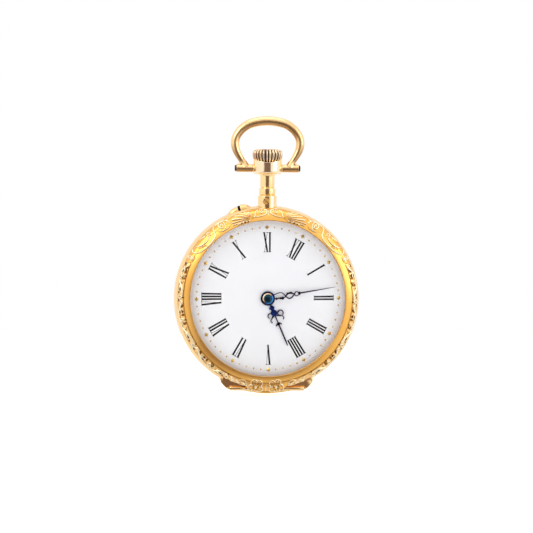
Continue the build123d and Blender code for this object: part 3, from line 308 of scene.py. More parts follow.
def crown_gold():
    """Pale gold, with painted shade dark in the hollows between the flutes."""
    material, s = new_material("gold_crown")
    x, y, _ = s.separate(s.coords)

    def from_axis():
        return s.calc("ADD", y, STEM_Y)

    angle = s.calc("ARCTAN2", x, from_axis())
    wave = s.calc("SINE", s.calc("MULTIPLY", angle, CROWN_FLUTES / 2))
    wave = s.calc("ABSOLUTE", wave)
    radius = s.calc("SQRT", s.calc("ADD", s.calc("MULTIPLY", x, x),
                                   s.calc("MULTIPLY", from_axis(), from_axis())))
    on_side = s.remap(radius, (0.0014, 0.00185), (0.0, 1.0))
    # painted shade in the hollows between the flutes
    hollow = s.calc("MULTIPLY", s.remap(wave, (0.42, 0.76), (1.0, 0.0)), on_side)
    colour = s.mottle(scale=900, detail=3, roughness=0.5,
                      low=(0.96, 0.70, 0.40), high=(1.0, 0.84, 0.60))
    colour = s.mix(hollow, colour, (0.16, 0.070, 0.030))
    # one shaded stripe a little left of the middle, on the front only
    from_stripe = s.calc("ABSOLUTE", s.calc("ADD", x, 0.00048))
    stripe = s.remap(from_stripe, (0.00018, 0.00034), (0.9, 0.0))
    in_front = s.calc("LESS_THAN", y, -STEM_Y)
    stripe = s.calc("MULTIPLY", s.calc("MULTIPLY", stripe, in_front), on_side)
    colour = s.mix(stripe, colour, (0.36, 0.26, 0.22))
    # painted shade: darker towards the left and right
    flank = s.remap(s.calc("ABSOLUTE", x), (0.0011, 0.0021), (0.0, 0.6))
    s.principled({
        "Metallic": 1.0,
        "Base Color": s.mix(s.calc("MULTIPLY", flank, on_side), colour, (0.50, 0.28, 0.14)),
        "Roughness": s.grain((0.20, 0.32), scale=2000, detail=4),
    })
    return material


def hub_band():
    """Blue at the lower right, turning to gold at the upper left; the gold is a painted highlight.
    """
    material, s = new_material("hub_band")
    x, _, z = s.separate(s.coords)
    across = s.remap(s.calc("SUBTRACT", z, x), (-0.0011, 0.0011), (0.0, 1.0))
    s.principled({
        "Metallic": 0.85,
        "Base Color": s.ramp(across, (
            (0.15, (0.06, 0.30, 0.72)), (0.42, (0.05, 0.10, 0.28)),
            (0.60, (0.80, 0.50, 0.26)), (0.85, (1.0, 0.80, 0.52)))),
        "Roughness": s.grain((0.22, 0.36), scale=2400, detail=4),
    })
    return material


# low, middle and high colour, roughness range, other settings of metal()
METALS = {
    "gold_band": ((0.92, 0.60, 0.26), (0.98, 0.66, 0.31), (1.0, 0.78, 0.46), (0.16, 0.27), {}),
    "gold_polished": ((0.90, 0.56, 0.20), (1.0, 0.67, 0.29), (1.0, 0.82, 0.50),
                      (0.10, 0.19), {}),
    "gold_chased": ((0.66, 0.26, 0.02), (0.94, 0.50, 0.08), (1.0, 0.80, 0.36), (0.16, 0.30),
                    {"wear_and_highlight": 0.8, "bump": 0.25, "edge": (0.50, 0.58)}),
    "gold_slope": ((0.86, 0.42, 0.06), (0.96, 0.54, 0.10), (1.0, 0.78, 0.34), (0.12, 0.22), {}),
    "gold_satin": ((0.86, 0.50, 0.17), (0.98, 0.64, 0.27), (1.0, 0.80, 0.50), (0.22, 0.32), {}),
    "gold_pale": ((0.94, 0.72, 0.44), (1.0, 0.80, 0.53), (1.0, 0.88, 0.66), (0.10, 0.19), {}),
    "gold_neck": ((0.92, 0.62, 0.26), (1.0, 0.74, 0.37), (1.0, 0.86, 0.56), (0.10, 0.19), {}),
    "gold_screw": ((0.72, 0.34, 0.06), (0.96, 0.52, 0.11), (1.0, 0.80, 0.40), (0.48, 0.58), {}),
    "gold_rim": ((0.95, 0.66, 0.34), (1.0, 0.78, 0.46), (1.0, 0.88, 0.64), (0.40, 0.52), {}),
    "gold_fluted": ((0.62, 0.32, 0.10), (1.0, 0.68, 0.32), (1.0, 0.86, 0.60), (0.10, 0.2),
                    {"wear_and_highlight": 0.7, "edge": (0.50, 0.56)}),
    "steel": ((0.42, 0.42, 0.44), (0.62, 0.62, 0.65), (0.9, 0.9, 0.92), (0.16, 0.34),
              {"stretch": (1, 1, 9)}),
    "spring_steel": ((0.22, 0.24, 0.30), (0.38, 0.40, 0.47), (0.7, 0.72, 0.78),
                     (0.18, 0.3), {}),
    "gilt_brass": ((0.62, 0.42, 0.15), (0.86, 0.64, 0.30), (1.0, 0.84, 0.52), (0.38, 0.56),
                   {"bump": 0.6, "bump_scale": 9000, "wear_and_highlight": 0.5}),
    "wheel_brass": ((0.66, 0.44, 0.14), (0.88, 0.66, 0.28), (1.0, 0.86, 0.5), (0.2, 0.34),
                    {"stretch": (1, 1, 6)}),
    "gilt_dot": ((0.52, 0.33, 0.05), (0.84, 0.60, 0.13), (1.0, 0.84, 0.42), (0.22, 0.36), {}),
}
# low, middle and edge colour
BLUED_STEELS = {
    "blued_steel": ((0.010, 0.012, 0.06), (0.02, 0.035, 0.22), (0.10, 0.28, 0.75)),
    "purple_steel": ((0.028, 0.014, 0.045), (0.065, 0.030, 0.095), (0.20, 0.16, 0.40)),
    "bright_blue": ((0.02, 0.04, 0.42), (0.04, 0.18, 0.80), (0.12, 0.55, 1.0)),
    "teal_steel": ((0.010, 0.035, 0.06), (0.015, 0.075, 0.12), (0.10, 0.28, 0.40)),
    "navy_steel": ((0.010, 0.010, 0.05), (0.022, 0.022, 0.12), (0.12, 0.14, 0.42)),
    "dark_screw": ((0.010, 0.008, 0.015), (0.04, 0.03, 0.06), (0.25, 0.22, 0.32)),
}

# the loaded pieces also pick from these by the slot names in their record
MATERIALS = {}
for name, (low, mid, high, roughness, settings) in METALS.items():
    MATERIALS[name] = metal(name, low, mid, high, roughness, **settings)
for name, colours in BLUED_STEELS.items():
    MATERIALS[name] = blued(name, *colours)
# the bow's darker underside is painted shade
MATERIALS["gold_bow"] = metal(
    "gold_bow", (0.86, 0.52, 0.20), (0.98, 0.66, 0.31), (1.0, 0.80, 0.50), (0.22, 0.32),
    painted_shade={"colour": (0.26, 0.125, 0.05), "amount": 0.7})
MATERIALS["enamel"] = enamel()
MATERIALS["ink"] = ink()
MATERIALS["crystal"] = glass()
MATERIALS["ruby"] = ruby()
MATERIALS["gold_relief"] = relief_gold()
MATERIALS["gold_crown"] = crown_gold()
MATERIALS["hub_band"] = hub_band()


# ---------------------------------------------------------------- loaded pieces
# bevel widths in millimetres
SOFTENED = {
    "case_middle": 0.05, "back_cover": 0.03, "cuvette": 0.02, "stem_screw": 0.02,
    "mainplate": 0.02, "barrel_bridge": 0.03, "train_bridge": 0.03, "balance_cock": 0.03,
    "escape_cock": 0.02, "bridge_screws": 0.02, "case_screws": 0.02,
    "ratchet_wheel": 0.015, "crown_wheel": 0.015, "ratchet_screw": 0.03,
    "crown_wheel_screw": 0.03, "click": 0.02, "click_screw": 0.02,
    "balance_wheel": 0.03, "regulator": 0.02, "cap_plate": 0.02,
}
DARK_PIECES = ("bow_screws", "setting_pin")


def paint(piece, material):
    piece.data.materials.clear()
    piece.data.materials.append(MATERIALS[material])


def soften(piece, width):
    weld = piece.modifiers.new("weld", "WELD")
    weld.merge_threshold = 2e-7
    bevel = piece.modifiers.new("bevel", "BEVEL")
    bevel.width = width * MM
    bevel.segments = 2
    bevel.limit_method = "ANGLE"
    bevel.angle_limit = math.radians(34)
    bevel.use_clamp_overlap = True
    bevel.harden_normals = True


slot_of = {part["node"]: part["material_slot"] for part in frame["record"]["subparts"]}
for name, piece in NODES.items():
    paint(piece, "dark_screw" if name in DARK_PIECES else slot_of[name])
    for face in piece.data.polygons:
        face.use_smooth = True
    piece.data.set_sharp_from_angle(angle=math.radians(32))
for name, width in SOFTENED.items():
    soften(NODES[name], width)


# ---------------------------------------------------------------- outline helpers
def rounded(points, radius, steps=5, closed=True):
    """Rounds the corners of a profile; radius is one value or one per corner."""
    out = []
    count = len(points)
    for i, corner in enumerate(points):
        r = radius[i] if isinstance(radius, (list, tuple)) else radius
        if (not closed and i in (0, count - 1)) or r <= 0:
            out.append(corner)
            continue
        before, after = points[i - 1], points[(i + 1) % count]
        to_before = (before[0] - corner[0], before[1] - corner[1])
        to_after = (after[0] - corner[0], after[1] - corner[1])
        len_before, len_after = math.hypot(*to_before), math.hypot(*to_after)
        cut = min(r, len_before * 0.45, len_after * 0.45)
        start = [corner[c] + to_before[c] / len_before * cut for c in (0, 1)]
        end = [corner[c] + to_after[c] / len_after * cut for c in (0, 1)]
        for k in range(steps + 1):
            t = k / steps
            out.append(tuple((1 - t) ** 2 * start[c] + 2 * t * (1 - t) * corner[c]
                             + t * t * end[c] for c in (0, 1)))
    return out


def bezier(p0, p1, p2, p3, steps):
    out = []
    for k in range(steps + 1):
        t = k / steps
        weights = (1 - t) ** 3, 3 * t * (1 - t) ** 2, 3 * t * t * (1 - t), t ** 3
        out.append(tuple(sum(w * p[c] for w, p in zip(weights, (p0, p1, p2, p3)))
                         for c in (0, 1)))
    return out


def smooth_curve(points, steps):
    """Catmull-Rom curve through the points."""
    P = [np.array(p, float) for p in points]
    P = [2 * P[0] - P[1]] + P + [2 * P[-1] - P[-2]]
    out = []
    for a, b, c, d in zip(P, P[1:], P[2:], P[3:]):
        for k in range(steps):
            t = k / steps
            out.append(0.5 * ((2 * b) + (-a + c) * t + (2 * a - 5 * b + 4 * c - d) * t * t
                              + (-a + 3 * b - 3 * c + d) * t ** 3))
    out.append(P[-2])
    return [tuple(p) for p in out]


def mirrored(points, sign):
    return [(sign * x, z) for x, z in points]


def symmetric(right):
    """Closed outline from its right half; one that starts off the axis begins at the left."""
    left = [(-x, z) for x, z in right if x]
    first = 1 if right[0][0] else 0
    return left[:first] + right + left[first:][::-1]


def counterclockwise(points):
    following = points[1:] + points[:1]
    area = sum(a[0] * b[1] - b[0] * a[1] for a, b in zip(points, following))
    return points[::-1] if area < 0 else points


def inset(points, distance):
    """Moves a counterclockwise outline inwards."""
    out = []
    for i, point in enumerate(points):
        before, here = np.array(points[i - 1]), np.array(point)
        after = np.array(points[(i + 1) % len(points)])
        edge_in, edge_out = here - before, after - here
        normal_in = np.array((-edge_in[1], edge_in[0])) / (np.hypot(*edge_in) or 1)
        normal_out = np.array((-edge_out[1], edge_out[0])) / (np.hypot(*edge_out) or 1)
        middle = normal_in + normal_out
        length = np.hypot(*middle)
        middle = middle / length if length > 1e-6 else normal_in
        reach = distance / max(0.35, float(np.dot(middle, normal_in)))
        out.append(tuple(here + middle * min(reach, 2.2 * distance)))
    return out


def round_cap(end, before, width, steps=4):
    """Points of the half circle that closes a pen stroke."""
    ahead = end - before
    heading = math.atan2(ahead[1], ahead[0])
    out = []
    for k in range(1, steps):
        a = heading - math.pi / 2 + math.pi * k / steps
        out.append((end[0] + math.cos(a) * width / 2, end[1] + math.sin(a) * width / 2))
    return out


def pen_stroke(points, widths):
    """Closed outline of a stroke along a curve; widths are spread evenly along it."""
    P = [np.array(p, float) for p in points]
    count = len(P)
    widths = np.interp(np.linspace(0, 1, count), np.linspace(0, 1, len(widths)), widths)
    left, right = [], []
    for i in range(count):
        ahead = P[min(i + 1, count - 1)] - P[max(i - 1, 0)]
        ahead = ahead / (np.hypot(*ahead) or 1)
        normal = np.array((-ahead[1], ahead[0]))
        left.append(tuple(P[i] + normal * widths[i] / 2))
        right.append(tuple(P[i] - normal * widths[i] / 2))
    return (right + round_cap(P[-1], P[-2], widths[-1])
            + left[::-1] + round_cap(P[0], P[1], widths[0]))


def disc(x, z, radius, count=24):
    return [(x + radius * math.cos(2 * math.pi * k / count),
             z + radius * math.sin(2 * math.pi * k / count)) for k in range(count)]


def turned(points, angle):
    """Plan points turned clockwise."""
    c, s = cos_deg(angle), sin_deg(angle)
    return [(x * c + z * s, -x * s + z * c) for x, z in points]


# ---------------------------------------------------------------- mesh helpers
def enter(name, mesh, material, body, angle=None):
    """Makes the object; edges sharper than angle are split, if one is given."""
    ob = bpy.data.objects.new(name, mesh)
    bpy.context.scene.collection.objects.link(ob)
    mesh.materials.append(MATERIALS[material])
    if angle is not None:
        mesh.set_sharp_from_angle(angle=math.radians(angle))
    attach(ob, body)
    return ob


def add_mesh(name, verts, faces, material, body, smooth=True, angle=35):
    mesh = bpy.data.meshes.new(name)
    mesh.from_pydata([(x * MM, y * MM, z * MM) for x, y, z in verts], [], faces)
    mesh.update()
    bm = bmesh.new()
    bm.from_mesh(mesh)
    bmesh.ops.remove_doubles(bm, verts=bm.verts, dist=1e-8)
    bmesh.ops.recalc_face_normals(bm, faces=bm.faces)
    bm.to_mesh(mesh)
    bm.free()
    for face in mesh.polygons:
        face.use_smooth = smooth
    return enter(name, mesh, material, body, angle if smooth else None)


def about_height(x=0, z=0):
    """Places turned work whose axis stands on the dial plane at (x, z)."""
    return lambda r, h, phi: (x + r * math.sin(phi), -h, z + r * math.cos(phi))


def about_stem(r, z, phi):
    """Places turned work on the stem axis; phi is measured from the front."""
    return (r * math.sin(phi), -STEM_H - r * math.cos(phi), z)


def about_cross(height, z):
    """Places turned work on an axis that runs along x."""
    return lambda r, x, phi: (x, -(height + r * math.cos(phi)), z + r * math.sin(phi))


def lathe(name, profile, material, body, segments, closed=True,
          place=about_height(), angle=35, shape=None):
    """Turns a profile of (radius, distance along the axis).

    shape may move each profile point, given (radius, distance, phi).
    """
    verts, faces = [], []
    count = len(profile)
    for i in range(segments):
        phi = 2 * math.pi * i / segments
        for r, h in profile:
            if shape:
                r, h = shape(r, h, phi)
            verts.append(place(r, h, phi))
    for i in range(segments):
        j = (i + 1) % segments
        for k in range(count if closed else count - 1):
            k2 = (k + 1) % count
            face = []
            for v in (i * count + k, i * count + k2, j * count + k2, j * count + k):
                # points that meet on the axis are taken once
                if not face or verts[v] != verts[face[-1]]:
                    face.append(v)
            faces.append(tuple(face))
    return add_mesh(name, verts, faces, material, body, angle=angle)


def skin(verts, faces, rings, tip=None, turn_first=True):
    """Adds a solid over rings of (plan points, height), closed by a cap or a tip (x, z, h)."""
    base, count = len(verts), len(rings[0][0])
    for points, h in rings:
        verts.extend((x, -h, z) for x, z in points)
    for k in range(len(rings) - 1):
        low = base + k * count
        for i in range(count):
            j = (i + 1) % count
            faces.append((low + i, low + j, low + count + j, low + count + i))
    first = tuple(range(base, base + count))
    top = base + (len(rings) - 1) * count
    last = tuple(range(top, top + count))
    faces.append(first[::-1] if turn_first else first)
    if tip:
        x, z, h = tip
        verts.append((x, -h, z))
        faces.extend((top + i, top + (i + 1) % count, top + count) for i in range(count))
    else:
        faces.append(last if turn_first else last[::-1])


def plate(name, outlines, low, high, material, body, bevel):
    """Pieces cut from sheet, with bevelled edges."""
    verts, faces = [], []
    for points in outlines:
        points = counterclockwise(points)
        inner = inset(points, bevel)
        rings = [(inner, low), (points, low + bevel * 0.7), (points, high - bevel),
                 (inner, high)]
        skin(verts, faces, rings, turn_first=False)
    return add_mesh(name, verts, faces, material, body, angle=40)


def sweep(name, points, radii, material, body, sides, height=STEM_H):
    """Round wire along plan points at one height."""
    P = [np.array((x, -height, z)) for x, z in points]
    count = len(P)
    verts, faces = [], []
    for i, radius in enumerate(radii):
        ahead = P[min(i + 1, count - 1)] - P[max(i - 1, 0)]
        ahead /= np.linalg.norm(ahead)
        normal = np.array((-ahead[2], 0, ahead[0]))
        for k in range(sides):
            a = 2 * math.pi * k / sides
            verts.append(tuple(P[i] + normal * math.cos(a) * radius
                               + np.array((0, 1, 0)) * math.sin(a) * radius))
    for i in range(count - 1):
        for k in range(sides):
            k2 = (k + 1) % sides
            faces.append((i * sides + k, i * sides + k2,
                          (i + 1) * sides + k2, (i + 1) * sides + k))
    faces.append(tuple(range(sides)))
    faces.append(tuple((count - 1) * sides + k for k in range(sides))[::-1])
    return add_mesh(name, verts, faces, material, body)


# ---------------------------------------------------------------- bezel ornament
strokes = []   # (plan points, widths, height) of each raised stroke
# (plan angle, radius, size) of each pit; overlapping pits depend on their order. Pits are painted
# dark brown as painted shade; the first six stand in for the shadow under the shells.
pits = [(-15.0, 11.86, 0.13), (-17.5, 11.87, 0.15), (-20.0, 11.86, 0.10),
        (15.5, 11.86, 0.13), (18.5, 11.87, 0.15), (21.0, 11.86, 0.10)]


def polar_point(angle, radius):
    return (radius * sin_deg(angle), radius * cos_deg(angle))


def carve(points, widths, height):
    """Raises a stroke along plan points; widths are spread evenly along it."""
    widths = np.atleast_1d(widths)
    spread = np.interp(np.linspace(0, 1, len(points)), np.linspace(0, 1, len(widths)), widths)
    strokes.append((np.array(points), spread, height))


def carve_curve(points, widths, height, polar=True, steps=6):
    if len(points) > 2:
        points = smooth_curve(points, steps)
    carve([polar_point(*p) for p in points] if polar else points, widths, height)


def carve_button(centre, width, height):
    carve([centre, (centre[0] + 1e-4, centre[1])], width, height)


def carve_spiral(angle, radius, outer, inner, turns, first, hand, widths, height):
    """Volute about (angle, radius); first is the plan angle of its outer end."""
    centre = polar_point(angle, radius)
    steps = int(18 * turns) + 2
    points = []
    for k in range(steps + 1):
        f = k / steps
        a = first + hand * 360 * turns * f
        r = outer + (inner - outer) * f
        points.append((centre[0] + r * sin_deg(a), centre[1] + r * cos_deg(a)))
    carve(points, widths, height)
    carve_button(centre, inner * 1.5, height * 1.05)


# Half of the ornament, right of the pendant.
# Curves: height, widths, then (plan angle, radius) points.
HALF_CURVES = (
    # scroll under the pendant
    (0.20, (0.13, 0.19, 0.17, 0.12), ((2.9, 13.13), (1.3, 13.02), (1.5, 12.75), (3.6, 12.48),
                                      (6.6, 12.33), (9.6, 12.30))),
    (0.17, (0.10, 0.15, 0.12), ((6.6, 13.16), (8.4, 12.95), (9.6, 12.55), (10.4, 12.30))),
    # line over the shell
    (0.15, (0.08, 0.12, 0.12, 0.14), ((8.6, 13.22), (14, 13.36), (20, 13.38), (26, 13.28),
                                      (28.6, 13.05))),
    # beside the large volute
    (0.20, (0.10, 0.16, 0.18, 0.14), ((27.2, 12.62), (28.4, 12.95), (30.6, 13.30),
                                      (33.4, 13.42), (36.4, 13.27))),
    (0.16, (0.06, 0.14, 0.15, 0.08), ((28.2, 12.28), (29.8, 12.15), (32.0, 12.10),
                                      (35.2, 12.22), (37.2, 12.5))),
    # long C curve with its leaves
    (0.24, (0.10, 0.19, 0.23, 0.23, 0.20, 0.17, 0.12),
     ((37.2, 13.26), (38.6, 13.05), (39.4, 12.7), (40.4, 12.35), (43.2, 12.05), (47.5, 11.93),
      (52.0, 12.02), (55.6, 12.28), (58.2, 12.68), (58.8, 13.02), (57.4, 13.2))),
    (0.19, (0.14, 0.20, 0.17, 0.08), ((44.6, 12.70), (47.4, 12.55), (50.6, 12.62),
                                      (53.6, 12.86), (55.6, 13.18))),
    (0.15, (0.20, 0.24, 0.06), ((46.2, 13.05), (48.2, 13.22), (50.8, 13.26))),
    (0.14, (0.10, 0.15, 0.05), ((50.0, 12.30), (52.4, 12.48), (54.6, 12.76))),
    # under the rosette
    (0.14, (0.06, 0.13, 0.06), ((60.2, 12.72), (61.6, 12.60), (63.8, 12.62), (65.6, 12.80))),
)
# Volutes: the arguments of carve_spiral.
HALF_SPIRALS = (
    (4.7, 13.02, 0.40, 0.13, 1.15, -70, 1, (0.15, 0.13, 0.10), 0.20),
    (33.2, 12.86, 0.60, 0.16, 1.35, -120, 1, (0.16, 0.20, 0.17, 0.12), 0.22),
    (43.0, 12.92, 0.30, 0.10, 1.0, 150, -1, (0.15, 0.13, 0.10), 0.18),
    (62.6, 13.04, 0.33, 0.15, 1.25, 200, 1, (0.16, 0.15, 0.12), 0.23),
)
SHELL_ROOT = (10.4, 12.28)
SHELL_TIPS = ((13.2, 13.02), (16.2, 13.24), (19.4, 13.27), (22.4, 13.10), (24.9, 12.84),
              (26.6, 12.50), (26.0, 12.12), (22.6, 11.93), (18.6, 11.98))
# the border of scrolls: its first angle, middle radius and the volutes' angles
BORDER_START = 66.0
BORDER_R = 13.05
BORDER_EYE_R = 13.06
BORDER_EYES = {1: (78.7, 91.7, 107.2, 122.0, 136.0, 148.6),
               -1: (74.5, 89.1, 104.2, 122.0, 138.7, 152.0)}


def carve_half(sign):
    """One half of the ornament; sign is +1 right of the pendant, -1 left."""
    def curve(points, widths, height, steps=6):
        carve_curve(mirrored(points, sign), widths, height, steps=steps)

    def spiral(angle, radius, outer, inner, turns, first, hand, widths, height):
        carve_spiral(sign * angle, radius, outer, inner, turns, sign * first, sign * hand,
                     widths, height)

    for height, widths, points in HALF_CURVES:
        curve(points, widths, height)
    for values in HALF_SPIRALS:
        spiral(*values)
    for i, tip in enumerate(SHELL_TIPS):
        middle = ((SHELL_ROOT[0] + tip[0]) / 2 + (0.5 - i * 0.05),
                  (SHELL_ROOT[1] + tip[1]) / 2 + (0.20 - i * 0.055))
        curve((SHELL_ROOT, middle, tip), (0.06, 0.15, 0.22 if i < 6 else 0.18), 0.135, steps=8)

    mid = BORDER_R
    start = BORDER_START
    for k, eye in enumerate(BORDER_EYES[sign]):
        # each scroll leaves towards one edge of the border and arrives along the other
        leave, arrive = (13.30, 12.80) if k % 2 else (12.80, 13.30)
        span = eye - start
        spiral(eye, BORDER_EYE_R, 0.27, 0.10, 1.1, 180, 1 if k % 2 else -1,
               (0.16, 0.15, 0.11), 0.24)
        curve(((start + 1.2, mid), (start + span * 0.25, leave),
               (start + span * 0.55, mid + (arrive - mid) * 0.5), (eye - 2.0, arrive),
               (eye - 0.4, arrive + (0.03 if arrive < 13 else -0.03))),
              (0.08, 0.20, 0.22, 0.18, 0.12), 0.23)
        curve(((start + span * 0.30, arrive), (start + span * 0.48, BORDER_EYE_R),
               (start + span * 0.74, leave * 0.5 + mid * 0.5), (eye - 2.6, mid)),
              (0.05, 0.16, 0.15, 0.05), 0.17)
        curve(((start + 1.6, arrive), (start + span * 0.2, mid * 0.5 + arrive * 0.5)),
              (0.18, 0.05), 0.16)
        curve(((eye + 1.7, 13.30), (eye + 2.7, mid), (eye + 1.9, 12.80)),
              (0.05, 0.15, 0.05), 0.17)
        # pits between the scrolls, painted dark brown as painted shade
        for angle, radius, size in (
                (eye, BORDER_EYE_R, 0.10),
                (start + span * 0.40, leave * 0.66 + mid * 0.34, 0.27),
                (eye + 0.6, 12.70, 0.13),
                (start + span * 0.80, leave * 0.8 + mid * 0.2, 0.19),
                (start + span * 0.66, arrive * 0.35 + leave * 0.65, 0.26),
                (start + span * 0.15, mid - (leave - mid) * 0.7, 0.24)):
            pits.append((sign * angle, radius, size))
        start = eye

    # crossed leaves between the border and the flowers
    for k, angle in enumerate((156.5, 160.5, 164.5)):
        curve(((angle - 2.6, 12.72 + 0.1 * k), (angle - 0.6, 12.95), (angle + 1.6, 13.25)),
              (0.06, 0.24, 0.05), 0.19)
        curve(((angle - 2.0, 13.28), (angle, 13.12), (angle + 2.2, 12.78)),
              (0.05, 0.18, 0.05), 0.16)


def carve_flower(centre, first):
    """Five petals, each a low cushion with a raised outline and a middle vein."""
    for k in range(5):
        a = first + 180 + k * 72
        petal = (centre[0] + 0.72 * sin_deg(a), centre[1] + 0.58 * cos_deg(a))
        carve_button(petal, 0.86, 0.088)
        outline = []
        for b in range(-126, 127, 14):
            # a small notch at the outer end
            r = 0.43 - 0.07 * max(0.0, cos_deg(b * 4)) * (abs(b) < 24)
            outline.append((petal[0] + r * sin_deg(a + b), petal[1] + 0.87 * r * cos_deg(a + b)))
        carve(outline, 0.13, 0.20)
        vein_end = (centre[0] + 0.40 * sin_deg(a), centre[1] + 0.34 * cos_deg(a))
        carve([centre, vein_end], (0.07, 0.09), 0.19)
    carve_button(centre, 0.36, 0.26)


# beside the flowers, right side: height, widths, plan points
LEAF_CURVES = (
    (0.19, 0.11, ((3.0, -12.75), (3.35, -12.25), (3.95, -12.08), (4.45, -12.30),
                  (4.2, -12.62), (3.6, -12.86), (3.0, -12.75))),
    (0.19, (0.06, 0.10, 0.05), ((3.1, -12.76), (3.7, -12.50), (4.4, -12.32))),
    (0.19, (0.08, 0.15, 0.10), ((4.6, -12.55), (5.1, -12.2), (5.5, -12.3), (5.3, -12.6))),
    (0.08, (0.50, 0.36), ((3.45, -12.58), (4.1, -12.36))),
)


def carve_leaf(sign):
    for height, widths, points in LEAF_CURVES:
        carve_curve(mirrored(points, sign), widths, height, polar=False)
    for t in (0.3, 0.6):
        x, z = 3.1 + 1.2 * t, -12.74 + 0.40 * t
        for dx, dz in ((0.22, 0.22), (0.32, -0.10)):
            carve(mirrored([(x, z), (x + dx, z + dz)], sign), (0.07, 0.04), 0.18)


carve_half(1)
carve_half(-1)
# upright stroke below the pendant
carve_curve([(-0.001, 13.25), (0, 12.6), (0.001, 12.15)], (0.10, 0.16, 0.05), 0.15)
carve_flower((-1.74, -12.98), 12.0)
carve_flower((1.27, -12.98), -14.0)
carve_leaf(1)
carve_leaf(-1)
# stem between the flowers
carve_curve([(-0.25, -12.55), (-0.22, -13.1), (-0.24, -13.6)], (0.05, 0.22, 0.05), 0.17,
            polar=False)


# ---------------------------------------------------------------- bezel
BEZEL_COLUMNS = 3600
# (radius, height) over the carved face, from the outer foot to the crystal seat
BEZEL_FACE = np.array(
    [(13.46, 5.02), (13.48, 5.20)]
    + bezier((13.48, 5.35), (13.48, 5.85), (13.18, 6.25), (12.66, 6.42), 44)
    + bezier((12.62, 6.435), (12.35, 6.58), (12.02, 6.72), (11.74, 6.795), 22)
    + [(11.70, 6.80), (11.665, 6.77)])
# (radius, height) under it, from the crystal groove back to the outer foot
BEZEL_UNDER = np.array(rounded(
    [(11.66, 6.37), (11.97, 6.37), (11.97, 6.12), (11.66, 6.12), (11.66, 5.95), (12.0, 5.75),
     (12.3, 5.45), (12.6, 5.42), (12.6, 4.86), (13.40, 4.86)], 0.02, 2, closed=False))
FACE_BREAK_R = 12.64    # outside this the ornament is laid on the unrolled face
FACE_OUTER_R = 13.50
APRON_ANGLE = 181.0     # the foot of the bezel widens about this plan angle
APRON_GROWTH = 0.60
APRON_FROM_R = 12.7
FOOT_H = 4.86
FOOT_LIFT = 0.31
RELIEF_GAIN = 0.62      # share of a stroke's height that is raised
PIT_DEPTH = 0.09
PIT_BELOW = 0.09        # pits only sink where the relief is lower than this
FULL_RELIEF = 0.149     # relief that gives the attribute the value one


def near_columns(points, pad):
    """Indices of the bezel columns within pad of the points."""
    angles = np.arctan2(points[:, 0], points[:, 1])
    rel = (angles - angles[0] + np.pi) % (2 * np.pi) - np.pi
    low, high = angles[0] + rel.min() - pad / 12.0, angles[0] + rel.max() + pad / 12.0
    first = int(math.floor(low / (2 * np.pi) * BEZEL_COLUMNS))
    last = int(math.ceil(high / (2 * np.pi) * BEZEL_COLUMNS))
    return np.arange(first, last + 1) % BEZEL_COLUMNS


def raise_strokes(relief, plan_x, plan_z):
    for points, widths, height in strokes:
        cols = near_columns(points, widths.max())
        x, z = plan_x[cols], plan_z[cols]
        best = np.zeros_like(x)
        for a, b, width_a, width_b in zip(points[:-1], points[1:], widths[:-1], widths[1:]):
            ab = b - a
            length2 = float(ab @ ab) + 1e-12
            t = np.clip(((x - a[0]) * ab[0] + (z - a[1]) * ab[1]) / length2, 0, 1)
            away = np.hypot(x - a[0] - t * ab[0], z - a[1] - t * ab[1])
            half = (width_a + (width_b - width_a) * t) * 0.5
            swell = np.sqrt(np.clip(1 - (away / np.maximum(half, 1e-3)) ** 2, 0, 1))
            # narrow strokes stand lower
            best = np.maximum(best, swell * height * RELIEF_GAIN * np.clip(half / 0.07, 0.35, 1.0))
        relief[cols] = np.maximum(relief[cols], best)


def sink_pits(relief, gap, plan_x, plan_z):
    for angle, radius, size in pits:
        centre = np.array([polar_point(angle, radius)])
        cols = near_columns(centre, size)
        away = np.hypot(plan_x[cols] - centre[0, 0], plan_z[cols] - centre[0, 1])
        bowl = np.clip(1 - (away / size) ** 2, 0, 1) ** 0.5
        # gap carries each pit's painted shade
        gap[cols] = np.maximum(gap[cols], bowl * (relief[cols] < PIT_BELOW))
        relief[cols] = relief[cols] * (1 - bowl * (relief[cols] < PIT_BELOW))


def grid_mesh(name, coords, quads, attributes):
    """Mesh from arrays, with outward normals and float point attributes."""
    count = len(quads)
    mesh = bpy.data.meshes.new(name)
    mesh.vertices.add(len(coords))
    mesh.vertices.foreach_set("co", coords.astype(np.float32).ravel())
    mesh.loops.add(count * 4)
    mesh.loops.foreach_set("vertex_index", quads.astype(np.int32).ravel())
    mesh.polygons.add(count)
    mesh.polygons.foreach_set("loop_start", np.arange(0, count * 4, 4, dtype=np.int32))
    mesh.polygons.foreach_set("use_smooth", np.ones(count, bool))
    mesh.update(calc_edges=True)
    mesh.validate()
    for key, values in attributes.items():
        attribute = mesh.attributes.new(key, "FLOAT", "POINT")
        attribute.data.foreach_set("value", values.astype(np.float32).ravel())
    bm = bmesh.new()
    bm.from_mesh(mesh)
    inside_out = bm.calc_volume(signed=True) < 0
    bm.free()
    if inside_out:
        mesh.flip_normals()
    return mesh


